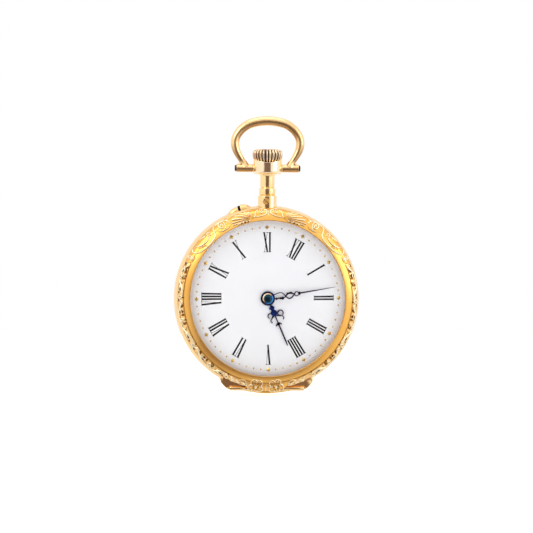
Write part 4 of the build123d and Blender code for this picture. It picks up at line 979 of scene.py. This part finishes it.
def build_bezel():
    """Arrays run over columns round the dial and rows along the profile."""
    columns = BEZEL_COLUMNS
    radius, height = BEZEL_FACE[:, 0], BEZEL_FACE[:, 1]
    along = np.gradient(BEZEL_FACE, axis=0)
    normal = np.stack([along[:, 1], -along[:, 0]], 1)
    normal /= np.linalg.norm(normal, axis=1)[:, None]
    theta = np.linspace(0, 2 * np.pi, columns, endpoint=False)

    # distances are measured on the unrolled face, so the steep outer side isn't squeezed
    steps = np.linalg.norm(np.diff(BEZEL_FACE, axis=0), axis=1)
    arc = np.concatenate([[0], np.cumsum(steps)])
    brk = int(np.argmin(abs(radius - FACE_BREAK_R)))
    flat_r = FACE_BREAK_R + ((arc[brk] - arc) * (FACE_OUTER_R - FACE_BREAK_R)
                             / (arc[brk] - arc[2]))
    flat_r[brk:] = radius[brk:]
    flat_r = flat_r[None, :]

    # the foot of the bezel widens into an apron over the hinge
    off = np.abs((np.degrees(theta) - APRON_ANGLE + 180) % 360 - 180)
    apron = np.clip((13.8 - off) / 4.0, 0, 1)
    apron = apron * apron * (3 - 2 * apron)
    grow = 1 + APRON_GROWTH * apron[:, None]
    plan_r = np.where(flat_r > APRON_FROM_R,
                      APRON_FROM_R + (flat_r - APRON_FROM_R) * grow, flat_r)
    plan_x = np.sin(theta)[:, None] * plan_r
    plan_z = np.cos(theta)[:, None] * plan_r

    relief = np.zeros((columns, len(radius)))
    gap = np.zeros_like(relief)
    raise_strokes(relief, plan_x, plan_z)
    sink_pits(relief, gap, plan_x, plan_z)
    turn = np.degrees(theta) % 360
    in_border = ((turn > 66) & (turn < 294))[:, None]
    ground = in_border & (flat_r > 12.72) & (flat_r < 13.40) & (relief < 0.03)
    gap = np.maximum(gap, ground * 0.10)
    # a bead round the outer edge, and one along the inside of the border
    outer_bead = np.exp(-((flat_r - 13.44) / 0.035) ** 2) * 0.05
    inner_bead = np.exp(-((flat_r - 12.66) / 0.03) ** 2) * 0.05 * in_border
    relief = np.maximum(relief, np.maximum(outer_bead, inner_bead))

    raised = relief - gap * PIT_DEPTH
    face_r = radius[None, :] + normal[None, :, 0] * raised
    face_h = height[None, :] + normal[None, :, 1] * raised
    face_r = np.where(radius[None, :] > APRON_FROM_R,
                      APRON_FROM_R + (face_r - APRON_FROM_R) * grow, face_r)
    lowest = FOOT_H + FOOT_LIFT * np.clip((16.0 - off) / 1.5, 0, 1)[:, None]
    face_h = np.maximum(face_h, lowest)
    under_r = np.repeat(BEZEL_UNDER[None, :, 0], columns, 0)
    under_h = np.repeat(BEZEL_UNDER[None, :, 1], columns, 0)
    under_h[:, -1:] = np.maximum(under_h[:, -1:], lowest)
    all_r = np.concatenate([face_r, under_r], 1)
    all_h = np.concatenate([face_h, under_h], 1)
    coords = np.stack([all_r * np.sin(theta)[:, None], -all_h,
                       all_r * np.cos(theta)[:, None]], 2).reshape(-1, 3) * MM

    rows = all_r.shape[1]
    i, k = np.meshgrid(np.arange(columns), np.arange(rows), indexing="ij")
    j, k2 = (i + 1) % columns, (k + 1) % rows
    quads = np.stack([i * rows + k, i * rows + k2, j * rows + k2, j * rows + k],
                     2).reshape(-1, 4)

    plain = np.zeros_like(under_r)
    # the relief attribute also paints the highlight on raised strokes and the shade at their feet;
    # the bare ground of the border takes a middle tone, except near the foot
    tone = np.maximum(relief / FULL_RELIEF, ground * (off[:, None] > 19.0) * 0.38 * (gap < 0.2))
    mesh = grid_mesh("bezel_chased", coords, quads, {
        "relief": np.concatenate([tone, plain], 1), "gap": np.concatenate([gap, plain], 1)})
    return enter("bezel_chased", mesh, "gold_relief", "bezel", angle=60)


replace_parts(build_bezel(), "bezel")

KNUCKLE_LENGTH = 2.15
for i, x0 in enumerate((-3.25, 1.1)):
    x1 = x0 + KNUCKLE_LENGTH
    knuckle = rounded([(0, x0), (0.38, x0), (0.38, x1), (0, x1)], 0.04, 4, closed=False)
    lathe(f"bezel_knuckle_{i}", knuckle, "gold_band", "bezel", 64,
          closed=False, place=about_cross(4.75, -13.5))


# ---------------------------------------------------------------- crystal
def dome(edge_r, edge_h, top_h, steps=40):
    """Spherical profile of (radius, height), from the edge to the axis."""
    rise = top_h - edge_h
    ball = (edge_r ** 2 + rise ** 2) / (2 * rise)
    out = []
    for k in range(steps + 1):
        r = edge_r * (1 - k / steps)
        out.append((r, top_h - (ball - math.sqrt(ball * ball - r * r))))
    return out


crystal_profile = ([(11.93, 6.15), (11.93, 6.34)] + dome(11.60, 6.36, 7.75)
                   + dome(11.40, 6.15, 7.40)[::-1])
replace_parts(lathe("crystal_glass", crystal_profile, "crystal", "bezel", 256,
                  angle=50), "crystal")

# crescent below the bezel, at the hinge
CRESCENT_LOWER = [
    (-6.0, -13.52), (-5.2, -13.74), (-4.2, -13.86), (-2.7, -14.08), (-1.3, -14.28),
    (0.0, -14.36), (1.3, -14.30), (2.7, -14.12), (4.2, -13.90), (5.2, -13.76), (6.0, -13.52)]
CRESCENT_UPPER = [(6.0, -13.40), (5.0, -13.30), (-5.0, -13.30), (-6.0, -13.40)]
plate("hinge_crescent", [smooth_curve(CRESCENT_LOWER, 6) + CRESCENT_UPPER], 2.85, 3.72,
      "gold_slope", "case", bevel=0.16)


# ---------------------------------------------------------------- pendant
# radius, z, corner rounding
NECK = (
    (0.62, 13.02, 0), (1.0, 13.02, 0), (1.0, 13.5, 0), (1.42, 13.5, 0), (1.42, 15.42, 0.10),
    (1.20, 15.48, 0.02), (1.13, 15.56, 0.02), (1.245, 15.66, 0.05), (1.245, 16.54, 0.08),
    (1.06, 16.60, 0.02), (1.01, 16.67, 0.02), (1.095, 16.77, 0.04), (1.095, 18.40, 0.12),
    (1.25, 18.65, 0), (0.62, 18.65, 0))
CUP = (
    (0.62, 18.65, 0), (1.95, 18.65, 0.25), (2.205, 18.95, 0.2), (2.205, 20.92, 0.05),
    (1.93, 20.92, 0.06), (1.88, 20.15, 0.05), (0.62, 20.15, 0))


def rounded_rows(rows, steps=5):
    """Rounds a table of (radius, distance, corner rounding)."""
    return rounded([row[:2] for row in rows], [row[2] for row in rows], steps)


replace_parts(lathe("pendant_neck", rounded_rows(NECK), "gold_neck", "case",
                  128, place=about_stem), "pendant_tube")

SCREW_X, SCREW_Z = -0.27, 14.58
SCREW_R = 0.46
SCREW_TURN = 42     # direction of the slot, clockwise from the x axis


def screw_head():
    """Two half discs with the slot between them."""
    verts, faces = [], []
    for sign in (1, -1):
        arc = [(SCREW_R * math.cos(a), sign * SCREW_R * math.sin(a))
               for a in np.linspace(math.radians(9), math.radians(171), 26)]
        rings = []
        for scale, height in ((1.0, 4.40), (1.0, 4.74), (0.93, 4.785)):
            points = turned([(x * scale, z * scale) for x, z in arc], SCREW_TURN)
            rings.append(([(SCREW_X + x, SCREW_Z + z) for x, z in points], height))
        skin(verts, faces, rings)
    return add_mesh("stem_screw_head", verts, faces, "gold_screw", "case",
                    angle=30)


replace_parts(screw_head(), "stem_screw")
screw_seat = rounded([(0.0, 4.40), (0.50, 4.40), (0.50, 4.66), (0.0, 4.66)], 0.02, 3,
                     closed=False)
lathe("stem_screw_seat", screw_seat, "gold_chased", "case", 48,
      closed=False, place=about_height(SCREW_X, SCREW_Z))


def cup_dip(r, z, phi):
    """Lowers the cup's rim at the front and back."""
    if z > 20.25:
        dip = 0.52 * (1 - abs(math.sin(phi)) ** 1.6)
        z = z - dip * min(1.0, (z - 20.25) / 0.5)
    return r, z


def subdivided(points, step):
    out = []
    for a, b in zip(points, points[1:] + points[:1]):
        count = max(1, int(math.dist(a, b) / step))
        for k in range(count):
            out.append((a[0] + (b[0] - a[0]) * k / count, a[1] + (b[1] - a[1]) * k / count))
    return out


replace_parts(lathe("crown_cup", subdivided(rounded_rows(CUP, 6), 0.12), "gold_pale", "case",
                  192, place=about_stem, shape=cup_dip), "pendant_cup")

# olive-shaped boss left of the pendant
OLIVE_LEFT, OLIVE_RIGHT = 2.05, 1.9       # reach either side of its middle
OLIVE_TALL_LEFT, OLIVE_TALL_RIGHT = 0.88, 1.02
OLIVE_ANGLE = -17.5
OLIVE_BASE_R, OLIVE_BEND_R = 13.66, 14.1
OLIVE_SLICES, OLIVE_ARC = 64, 20


def olive_boss():
    """Arched slices across the boss, with a notch near its middle."""
    verts, faces = [], []
    for i in range(OLIVE_SLICES + 1):
        u = -OLIVE_LEFT + (OLIVE_LEFT + OLIVE_RIGHT) * i / OLIVE_SLICES
        reach, tall = ((OLIVE_RIGHT, OLIVE_TALL_RIGHT) if u > 0
                       else (OLIVE_LEFT, OLIVE_TALL_LEFT))
        taper = max(0.0, 1 - (abs(u) / reach) ** 2.3)
        tall *= taper ** 0.62
        beside_notch = min(1.0, max(0.0, (abs(u + 0.04) - 0.17) / 0.05))
        tall *= 0.20 + 0.80 * beside_notch
        half_width = 0.66 * taper ** 0.42 + 0.01
        angle = math.radians(OLIVE_ANGLE) + u / OLIVE_BEND_R
        for j in range(OLIVE_ARC + 1):
            phi = math.pi * j / OLIVE_ARC
            r = OLIVE_BASE_R + tall * math.sin(phi) ** 0.8
            verts.append((r * math.sin(angle), -(STEM_H - half_width * math.cos(phi)),
                          r * math.cos(angle)))
    row = OLIVE_ARC + 1
    for i in range(OLIVE_SLICES):
        for j in range(OLIVE_ARC):
            a = i * row + j
            faces.append((a, a + 1, a + row + 1, a + row))
        faces.append((i * row, (i + 1) * row, (i + 1) * row + OLIVE_ARC, i * row + OLIVE_ARC))
    faces.append(tuple(range(row)))
    faces.append(tuple(OLIVE_SLICES * row + j for j in range(row))[::-1])
    return add_mesh("setting_boss_olive", verts, faces, "gold_satin", "case",
                    angle=50)


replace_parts(olive_boss(), "setting_boss")


# ---------------------------------------------------------------- crown
CROWN_FOOT_Z = 20.3
CROWN_PROFILE = (
    [(0.45, CROWN_FOOT_Z), (1.70, CROWN_FOOT_Z)]
    + bezier((1.80, 20.34), (1.95, 20.7), (2.16, 21.0), (2.22, 21.3), 14)
    + bezier((2.25, 21.4), (2.29, 21.75), (2.26, 22.0), (2.10, 22.20), 18)
    + bezier((2.05, 22.25), (1.90, 22.38), (1.70, 22.42), (1.50, 22.44), 8)
    + bezier((1.40, 22.45), (1.0, 22.49), (0.6, 22.5), (0.0, 22.5), 10)
    + [(0.0, 21.7), (0.45, 21.7)])


def crown_flute(r, z, phi):
    """Flutes run up the side and fade out on the dome."""
    if r < 0.5 or z < 20.32:
        return r, z
    fade = min(1.0, max(0.0, (r - 1.35) / 0.45)) * min(1.0, (z - CROWN_FOOT_Z) / 0.2)
    wave = abs(math.sin(phi * CROWN_FLUTES / 2))
    return r - 0.30 * fade * (1 - wave ** 0.8), z - 0.05 * fade * (1 - wave)


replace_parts(lathe("crown_fluted", CROWN_PROFILE, "gold_crown", "crown",
                  CROWN_FLUTES * 20, place=about_stem, shape=crown_flute, angle=60), "crown")


# ---------------------------------------------------------------- bow
def cross_tube(name, x0, x1, inner, outer, rounding, steps, segments, material, body):
    """Tube on the bow's pivot axis."""
    profile = rounded([(inner, x0), (outer, x0), (outer, x1), (inner, x1)], rounding, steps)
    lathe(name, profile, material, body, segments,
          place=about_cross(STEM_H, BOW_PIVOT_Z))


# seats on the cup that the pivot tubes turn against
for i, (x0, x1) in enumerate(((-2.238, -1.98), (1.98, 2.238))):
    cross_tube(f"bow_seat_{i}", x0, x1, inner=0.32, outer=0.57, rounding=0.03, steps=3,
               segments=64, material="gold_neck", body="case")

# centre line of the left half, from the pivot to the top
BOW_HALF = [(-3.36, 19.80), (-3.60, 20.35), (-3.95, 20.87), (-4.46, 21.71), (-4.80, 22.5),
            (-4.94, 23.4), (-4.75, 24.3), (-4.26, 25.1), (-3.71, 25.66), (-2.81, 26.24),
            (-1.45, 26.62), (0, 26.75)]


def bow_radius(z):
    """Thickest at the top, thinner down the sides and flared at the pivots."""
    return (0.64 + 0.07 * max(0.0, (z - 24.4) / 2.35)
            - 0.16 * min(1.0, max(0.0, (23.2 - z) / 2.4)) ** 1.3
            + 0.22 * max(0.0, (20.75 - z) / 0.95) ** 1.5)


bow_path = smooth_curve(BOW_HALF + mirrored(BOW_HALF[:-1], -1)[::-1], 8)
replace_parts(sweep("bow_wire", bow_path, [bow_radius(z) for _, z in bow_path], "gold_bow",
                  "bow", 40), "bow")

# web that joins the wire to its pivot tube, right side
WEB_OUTER = [(4.64, 19.98), (4.46, 20.16), (4.34, 20.50), (4.30, 20.95)]
WEB_INNER = [(3.62, 20.95), (3.28, 20.52), (2.96, 20.24), (2.36, 20.00)]
web = smooth_curve(WEB_OUTER, 5) + smooth_curve(WEB_INNER, 5) + [(2.36, 19.62), (4.62, 19.62)]
for name, sign in (("bow_web_l", -1), ("bow_web_r", 1)):
    plate(name, [mirrored(web, sign)], STEM_H - 0.40, STEM_H + 0.40, "gold_bow", "bow",
          bevel=0.30)
for i, (x0, x1) in enumerate(((-4.70, -2.26), (2.26, 4.70))):
    cross_tube(f"bow_tube_{i}", x0, x1, inner=0.31, outer=0.60, rounding=0.07, steps=5,
               segments=96, material="gold_bow", body="bow")

# rounded rims of the hinge shoulders, right side
SHOULDER_RIM = [(6.50, -11.98), (6.86, -12.14), (6.80, -12.58), (6.40, -13.08),
                (5.93, -13.48), (5.2, -13.66)]
shoulder = smooth_curve(SHOULDER_RIM, 6)
for name, sign in (("shoulder_rim_l", -1), ("shoulder_rim_r", 1)):
    sweep(name, mirrored(shoulder, sign), [0.13] * len(shoulder), "gold_rim", "case",
          20, height=4.52)


# ---------------------------------------------------------------- dial
# radius, height, corner rounding
DIAL = ((0.90, 5.0, 0.02), (12.0, 5.0, 0.02), (12.0, 5.41, 0.05), (11.9, 5.45, 0.05),
        (11.25, 5.45, 0), (0.90, 5.45, 0.04))
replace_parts(lathe("dial_face", rounded_rows(DIAL, 4), "enamel", "case", 256), "dial")

DIAL_TURN = 29.1     # plan angle of XII
FEET_R, HEAD_R = 6.95, 9.95
LETTER_H = HEAD_R - FEET_R
SERIF_THICK = 0.055
# width, bars (x, end, x, end, thickness), serifs (x, half width, end); end 0 foot, 1 head
LETTERS = {
    "I": (0.40, ((0.20, 0, 0.20, 1, 0.262),), ((0.20, 0.215, 0), (0.20, 0.215, 1))),
    "V": (0.78, ((0.19, 1, 0.42, 0, 0.262), (0.62, 1, 0.43, 0, 0.06)),
          ((0.19, 0.20, 1), (0.62, 0.15, 1))),
    "X": (0.80, ((0.17, 1, 0.62, 0, 0.262), (0.62, 1, 0.17, 0, 0.06)),
          ((0.17, 0.19, 1), (0.62, 0.15, 1), (0.17, 0.15, 0), (0.62, 0.19, 0))),
}
WORDS = ("XII", "I", "II", "III", "IIII", "V", "VI", "VII", "VIII", "IX", "X", "XI")


def bar(xa, za, xb, zb, thick):
    length = math.hypot(xb - xa, zb - za)
    nx, nz = -(zb - za) / length * thick / 2, (xb - xa) / length * thick / 2
    return [(xa - nx, za - nz), (xb - nx, zb - nz), (xb + nx, zb + nz), (xa + nx, za + nz)]


def serif(x, half, end):
    z = end * LETTER_H
    inward = 1 if end else -1
    side_z, middle_z = z - inward * SERIF_THICK, z - inward * 0.10
    return [(x - half, z), (x + half, z), (x + half, side_z), (x + 0.11, middle_z),
            (x - 0.11, middle_z), (x - half, side_z)]


def numeral(word):
    """Outlines centred on x, with feet at z = 0."""
    at, outlines = -sum(LETTERS[letter][0] for letter in word) / 2, []
    for letter in word:
        width, bars, serifs = LETTERS[letter]
        for xa, end_a, xb, end_b, thick in bars:
            outlines.append(bar(at + xa, end_a * LETTER_H, at + xb, end_b * LETTER_H, thick))
        for x, half, end in serifs:
            outlines.append(serif(at + x, half, end))
        at += width
    return outlines


verts, faces = [], []
for hour, word in enumerate(WORDS):
    for outline in numeral(word):
        # letters widen a little towards the rim
        outline = [(x * (1 + 0.10 * (z - 1.5) / 3.0), z + FEET_R) for x, z in outline]
        outline = counterclockwise(turned(outline, hour * 30 + DIAL_TURN))
        skin(verts, faces, [(outline, 5.43), (outline, 5.457)])
add_mesh("hour_numerals", verts, faces, "ink", "case", smooth=False)

TRACK_R = 10.67
TRACK_H = 5.44
BEAD_R, BEAD_TALL = 0.125, 0.075
PYRAMID_HALF = 0.33

# gilt beads at the minutes
verts, faces = [], []
for minute in range(60):
    if minute % 5:
        x, z = polar_point(minute * 6 + DIAL_TURN, TRACK_R)
        rings = []
        for k in range(4):
            a = math.pi / 2 * k / 4
            rings.append((disc(x, z, BEAD_R * math.cos(a), 14), TRACK_H + BEAD_TALL * math.sin(a)))
        skin(verts, faces, rings, tip=(x, z, TRACK_H + BEAD_TALL))
add_mesh("minute_beads", verts, faces, "gilt_dot", "case")

# small pyramids at the hours
verts, faces = [], []
for hour in range(12):
    angle = hour * 30 + DIAL_TURN
    square = turned([(0, TRACK_R - PYRAMID_HALF), (PYRAMID_HALF, TRACK_R),
                     (0, TRACK_R + PYRAMID_HALF), (-PYRAMID_HALF, TRACK_R)], angle)
    skin(verts, faces, [(square, TRACK_H), (square, 5.47)],
         tip=(*polar_point(angle, TRACK_R), 5.60))
add_mesh("hour_pyramids", verts, faces, "gilt_dot", "case", smooth=False)


# ---------------------------------------------------------------- hands
# Hands are drawn pointing along +z from the centre, then turned to these plan angles.
MINUTE_ANGLE, HOUR_ANGLE = 80.0, 156.67

# two sinuous branches of the minute hand: points, widths
PLAIN_BRANCH = (
    [(-0.30, 0.70), (-0.47, 1.30), (-0.54, 1.61), (-0.56, 2.03), (-0.40, 2.33), (-0.10, 2.56),
     (0.18, 2.74), (0.44, 3.00), (0.52, 3.22), (0.46, 3.50), (0.25, 3.78), (-0.02, 4.03),
     (-0.24, 4.22), (-0.30, 4.43), (-0.18, 4.62), (0.02, 4.85)],
    [0.154, 0.141, 0.154, 0.179, 0.205, 0.205, 0.179, 0.154, 0.154])
BEADED_BRANCH = (
    [(0.20, 0.75), (0.23, 1.28), (0.24, 1.69), (0.31, 2.19), (0.22, 2.50), (0.04, 2.74),
     (-0.22, 3.05), (-0.27, 3.51), (-0.12, 3.79), (0.03, 4.03), (0.26, 4.18), (0.32, 4.43),
     (0.16, 4.68), (0.0, 4.85)],
    [0.154, 0.154, 0.166, 0.192, 0.179, 0.166, 0.154, 0.154])
# x, z, radius
BRANCH_BEADS = (
    (0.25, 1.26, 0.18), (0.22, 1.60, 0.132), (0.26, 1.86, 0.18), (0.31, 2.18, 0.228),
    (-0.22, 3.02, 0.168), (-0.27, 3.30, 0.144), (-0.27, 3.56, 0.18), (-0.14, 3.80, 0.12))
# right halves of the star and blade
MINUTE_STAR = [(0, 4.46), (0.10, 4.72), (0.36, 4.82), (0.13, 4.93), (0.10, 5.2)]
MINUTE_BLADE = [(0.09, 5.0), (0.115, 5.4), (0.11, 6.0), (0.085, 7.4), (0.055, 9.0),
                (0.03, 10.2), (0.0, 10.48)]


def curved_stroke(points, widths):
    return pen_stroke(smooth_curve(points, 5), widths)


def hand_plate(name, outlines, angle, low, high, material, body, bevel):
    return plate(name, [turned(outline, angle) for outline in outlines], low, high,
                 material, body, bevel)


minute_outlines = [curved_stroke(*PLAIN_BRANCH), curved_stroke(*BEADED_BRANCH)]
minute_outlines += [disc(*bead) for bead in BRANCH_BEADS]
minute_outlines += [symmetric(MINUTE_STAR), symmetric(MINUTE_BLADE)]
minute_scrolls = hand_plate("minute_hand_scrolls", minute_outlines, MINUTE_ANGLE,
                            5.965, 6.055, "purple_steel", "hands", bevel=0.025)
# radius, height, corner rounding
MINUTE_BOSS = ((0.50, 5.93, 0), (0.75, 5.93, 0.02), (0.75, 6.13, 0.05), (0.62, 6.17, 0.04),
               (0.50, 6.17, 0.02))
minute_boss = lathe("minute_hand_boss", rounded_rows(MINUTE_BOSS), "navy_steel", "hands",
                    128)
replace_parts(minute_scrolls, "minute_hand")
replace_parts(minute_boss, "minute_hand")


def ring_arc(x, z, radius, start, end):
    """Arc with angles counterclockwise from the x axis."""
    return [(x + radius * cos_deg(a), z + radius * sin_deg(a))
            for a in np.linspace(start, end, 30)]


def hour_lyre():
    """Lobed body next to the centre."""
    outlines = []
    for sign in (1, -1):
        lobe = [(0.0, 1.02), (0.26, 1.32), (0.36, 1.60), (0.22, 1.86), (0.44, 2.15),
                (0.47, 2.48), (0.26, 2.78), (0.0, 2.96)]
        outlines.append(smooth_curve(mirrored(lobe, sign), 6) + [(0.0, 1.9)])
        outlines.append(disc(sign * 0.30, 1.56, 0.13))
    outlines.append(symmetric([(0.12, 0.9), (0.12, 1.5)]))
    return outlines


def hour_scrolls():
    """Two unequal ring scrolls, stem, fleur and blade."""
    tail_widths = [0.23, 0.166, 0.141, 0.128]
    outlines = [
        # larger scroll, on the -x side
        pen_stroke(ring_arc(-0.90, 2.72, 0.42, 60, -235), [0.205, 0.166, 0.166, 0.179, 0.154]),
        disc(-0.70, 2.40, 0.15),
        curved_stroke([(-0.30, 2.86), (-0.55, 2.98), (-0.86, 3.10), (-1.06, 3.32),
                       (-1.10, 3.60), (-0.96, 3.74)], tail_widths),
        disc(-0.97, 3.72, 0.09),
        # smaller scroll, on the +x side
        pen_stroke(ring_arc(0.66, 2.58, 0.36, 110, 405), [0.192, 0.166, 0.166, 0.166, 0.141]),
        curved_stroke([(0.22, 2.80), (0.48, 2.92), (0.62, 3.06), (0.84, 3.22), (0.90, 3.46),
                       (0.78, 3.60)], tail_widths),
        disc(0.79, 3.58, 0.09),
        # stem
        symmetric([(0.11, 2.85), (0.075, 3.4), (0.09, 4.3)]),
    ]
    for sign in (1, -1):
        hook = [(0.0, 4.02), (0.20, 4.10), (0.36, 4.22), (0.38, 4.36)]
        outlines.append(curved_stroke(mirrored(hook, sign), [0.256, 0.205, 0.141]))
    fleur = [(0, 3.70), (0.13, 3.98), (0.22, 4.20), (0.10, 4.42)]
    blade = [(0.09, 4.35), (0.11, 4.8), (0.115, 5.6), (0.105, 6.8), (0.085, 7.55), (0.0, 7.73)]
    return outlines + [symmetric(fleur), symmetric(blade)]


scrolls = hand_plate("hour_hand_scrolls", hour_scrolls(), HOUR_ANGLE, 5.625, 5.735,
                     "purple_steel", "hour_work", bevel=0.025)
lyre = hand_plate("hour_hand_lyre", hour_lyre(), HOUR_ANGLE, 5.625, 5.755,
                  "bright_blue", "hour_work", bevel=0.03)
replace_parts(lyre, "hour_hand")
# radius, height, corner rounding
HOUR_COLLET = ((0.955, 5.55, 0), (1.08, 5.55, 0.02), (1.08, 5.83, 0.05), (1.02, 5.87, 0.03),
               (0.80, 5.87, 0.02), (0.80, 5.80, 0), (0.955, 5.80, 0))
collet = lathe("hour_hand_collet", rounded_rows(HOUR_COLLET), "navy_steel", "hour_work",
               128)
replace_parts(scrolls, "hour_hand")
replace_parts(collet, "hour_hand")

# bevelled ring and domed cap at the centre
HUB_RING = ((0.62, 6.13, 0), (0.80, 6.13, 0.02), (0.80, 6.19, 0.02), (0.64, 6.26, 0.02))
lathe("hub_ring", rounded_rows(HUB_RING, 4), "hub_band", "hands", 96, angle=60)
hub_cap = [(0.0, 6.10), (0.62, 6.10), (0.66, 6.16)] + bezier(
    (0.655, 6.20), (0.60, 6.34), (0.34, 6.42), (0.0, 6.42), 12)
lathe("hub_cap", hub_cap, "teal_steel", "hands", 96, angle=60)


# ---------------------------------------------------------------- floor
FLOOR_HALF, FLOOR_Z = 0.25, -0.0146   # metres


def floor_card():
    """White card that glows, less strongly near the watch."""
    material = bpy.data.materials.new("floor_card")
    material.use_nodes = True
    s = Shader(material.node_tree)
    surface = s.tree.nodes["Principled BSDF"].inputs
    fac = s.add("TexNoise", {"Scale": 40}).outputs["Fac"]
    s.feed(surface["Base Color"], s.ramp(fac, ((0.0, (0.93,) * 3), (1.0, (0.96,) * 3))))
    s.feed(surface["Roughness"], 0.9)
    s.feed(surface["Emission Color"], (1, 1, 1))
    coords = s.add("TexCoord").outputs["Object"]
    distance = s.add("VectorMath", {0: coords}, operation="LENGTH").outputs["Value"]
    s.feed(surface["Emission Strength"], s.remap(distance, (0.012, 0.05), (0.55, 1.0)))
    return material


floor_mesh = bpy.data.meshes.new("floor")
floor_mesh.from_pydata([(x * FLOOR_HALF, y * FLOOR_HALF, FLOOR_Z)
                        for x, y in ((-1, -1), (1, -1), (1, 1), (-1, 1))], [], [(0, 1, 2, 3)])
floor = bpy.data.objects.new("floor", floor_mesh)
bpy.context.scene.collection.objects.link(floor)
floor_mesh.materials.append(floor_card())
floor.visible_glossy = False


# ---------------------------------------------------------------- world
def build_world():
    """Plain white to the camera; the watch sees white with a brown band straight ahead."""
    world = bpy.data.worlds.new("studio")
    bpy.context.scene.world = world
    world.use_nodes = True
    s = Shader(world.node_tree)
    s.tree.nodes.clear()
    x, y, z = s.separate(s.add("TexCoord").outputs["Generated"])

    def fade(value, span, onto=(1.0, 0.0)):
        return s.remap(value, span, onto, smooth=True)

    across = s.calc("ADD", x, 0.077)
    in_front = s.calc("LESS_THAN", y, 0.0)
    # the band is wider below the horizon
    below = fade(z, (-0.50, -0.16))
    band = fade(s.calc("ABSOLUTE", across), (0.38, 0.50))
    wider = s.calc("MULTIPLY", fade(s.calc("ABSOLUTE", across), (0.38, 0.72)), below)
    band = s.calc("MAXIMUM", band, wider)
    level = s.calc("MULTIPLY", fade(z, (0.12, 0.42)), fade(z, (-0.84, -0.54), (0.0, 1.0)))
    dark = s.calc("MULTIPLY", s.calc("MULTIPLY", band, level), in_front)
    # everything far below is slightly darkened
    dark = s.calc("MAXIMUM", dark, s.calc("MULTIPLY", fade(z, (-0.92, -0.55)), 0.16))
    colour = s.ramp(dark, ((0.0, (1.0, 1.0, 1.0)), (1.0, (0.20, 0.13, 0.105))))

    rays = s.add("LightPath").outputs
    # matt surfaces take a little less light than mirrors show
    strength = s.remap(rays["Is Diffuse Ray"], (0.0, 1.0), (1.04, 0.85))
    lit = s.add("Background", {"Color": colour, "Strength": strength}).outputs[0]
    seen = s.add("Background", {"Color": (1, 1, 1), "Strength": 1.0}).outputs[0]
    mixed = s.add("MixShader", {0: rays["Is Camera Ray"], 1: lit, 2: seen}).outputs[0]
    s.add("OutputWorld", {"Surface": mixed})


build_world()


# ---------------------------------------------------------------- lights (metres, watts)
LIGHT_TARGET = Vector((0, 0, 0.005))


def area_light(name, place, size, watts):
    data = bpy.data.lights.new(name, "AREA")
    data.shape = "SQUARE"
    data.size = size
    data.energy = watts
    light = bpy.data.objects.new(name, data)
    bpy.context.scene.collection.objects.link(light)
    light.location = place
    light.rotation_mode = "QUATERNION"
    light.rotation_quaternion = (LIGHT_TARGET - Vector(place)).to_track_quat("-Z", "Y")
    light.visible_camera = False


area_light("key_left", place=(-0.22, -0.20, 0.20), size=0.16, watts=0.22)
area_light("fill_right", place=(0.26, -0.16, 0.10), size=0.16, watts=0.16)
area_light("top_card", place=(0.0, -0.05, 0.30), size=0.20, watts=0.14)


# ---------------------------------------------------------------- camera
CAMERA_AZIMUTH, CAMERA_ELEVATION, CAMERA_ROLL = map(math.radians, (-4.4, 0.3, 0.4))
CAMERA_DISTANCE = 0.334
CAMERA_TARGET = Vector((-0.00014, -0.0045, 0.00479))

lens = bpy.data.cameras.new("camera")
camera = bpy.data.objects.new("camera", lens)
bpy.context.scene.collection.objects.link(camera)
lens.lens = 150.0
lens.sensor_width = 36
lens.clip_start = 0.01
lens.clip_end = 10
towards_camera = Vector((math.sin(CAMERA_AZIMUTH) * math.cos(CAMERA_ELEVATION),
                         -math.cos(CAMERA_AZIMUTH) * math.cos(CAMERA_ELEVATION),
                         math.sin(CAMERA_ELEVATION)))
camera.location = CAMERA_TARGET + towards_camera * CAMERA_DISTANCE
camera.rotation_mode = "QUATERNION"
camera.rotation_quaternion = ((-towards_camera).to_track_quat("-Z", "Y")
                              @ Quaternion((0, 0, 1), CAMERA_ROLL))

scene = bpy.context.scene
scene.camera = camera
scene.view_settings.view_transform = "Standard"
scene.view_settings.look = "None"
scene.view_settings.exposure = 0.0
scene.view_settings.gamma = 1.0
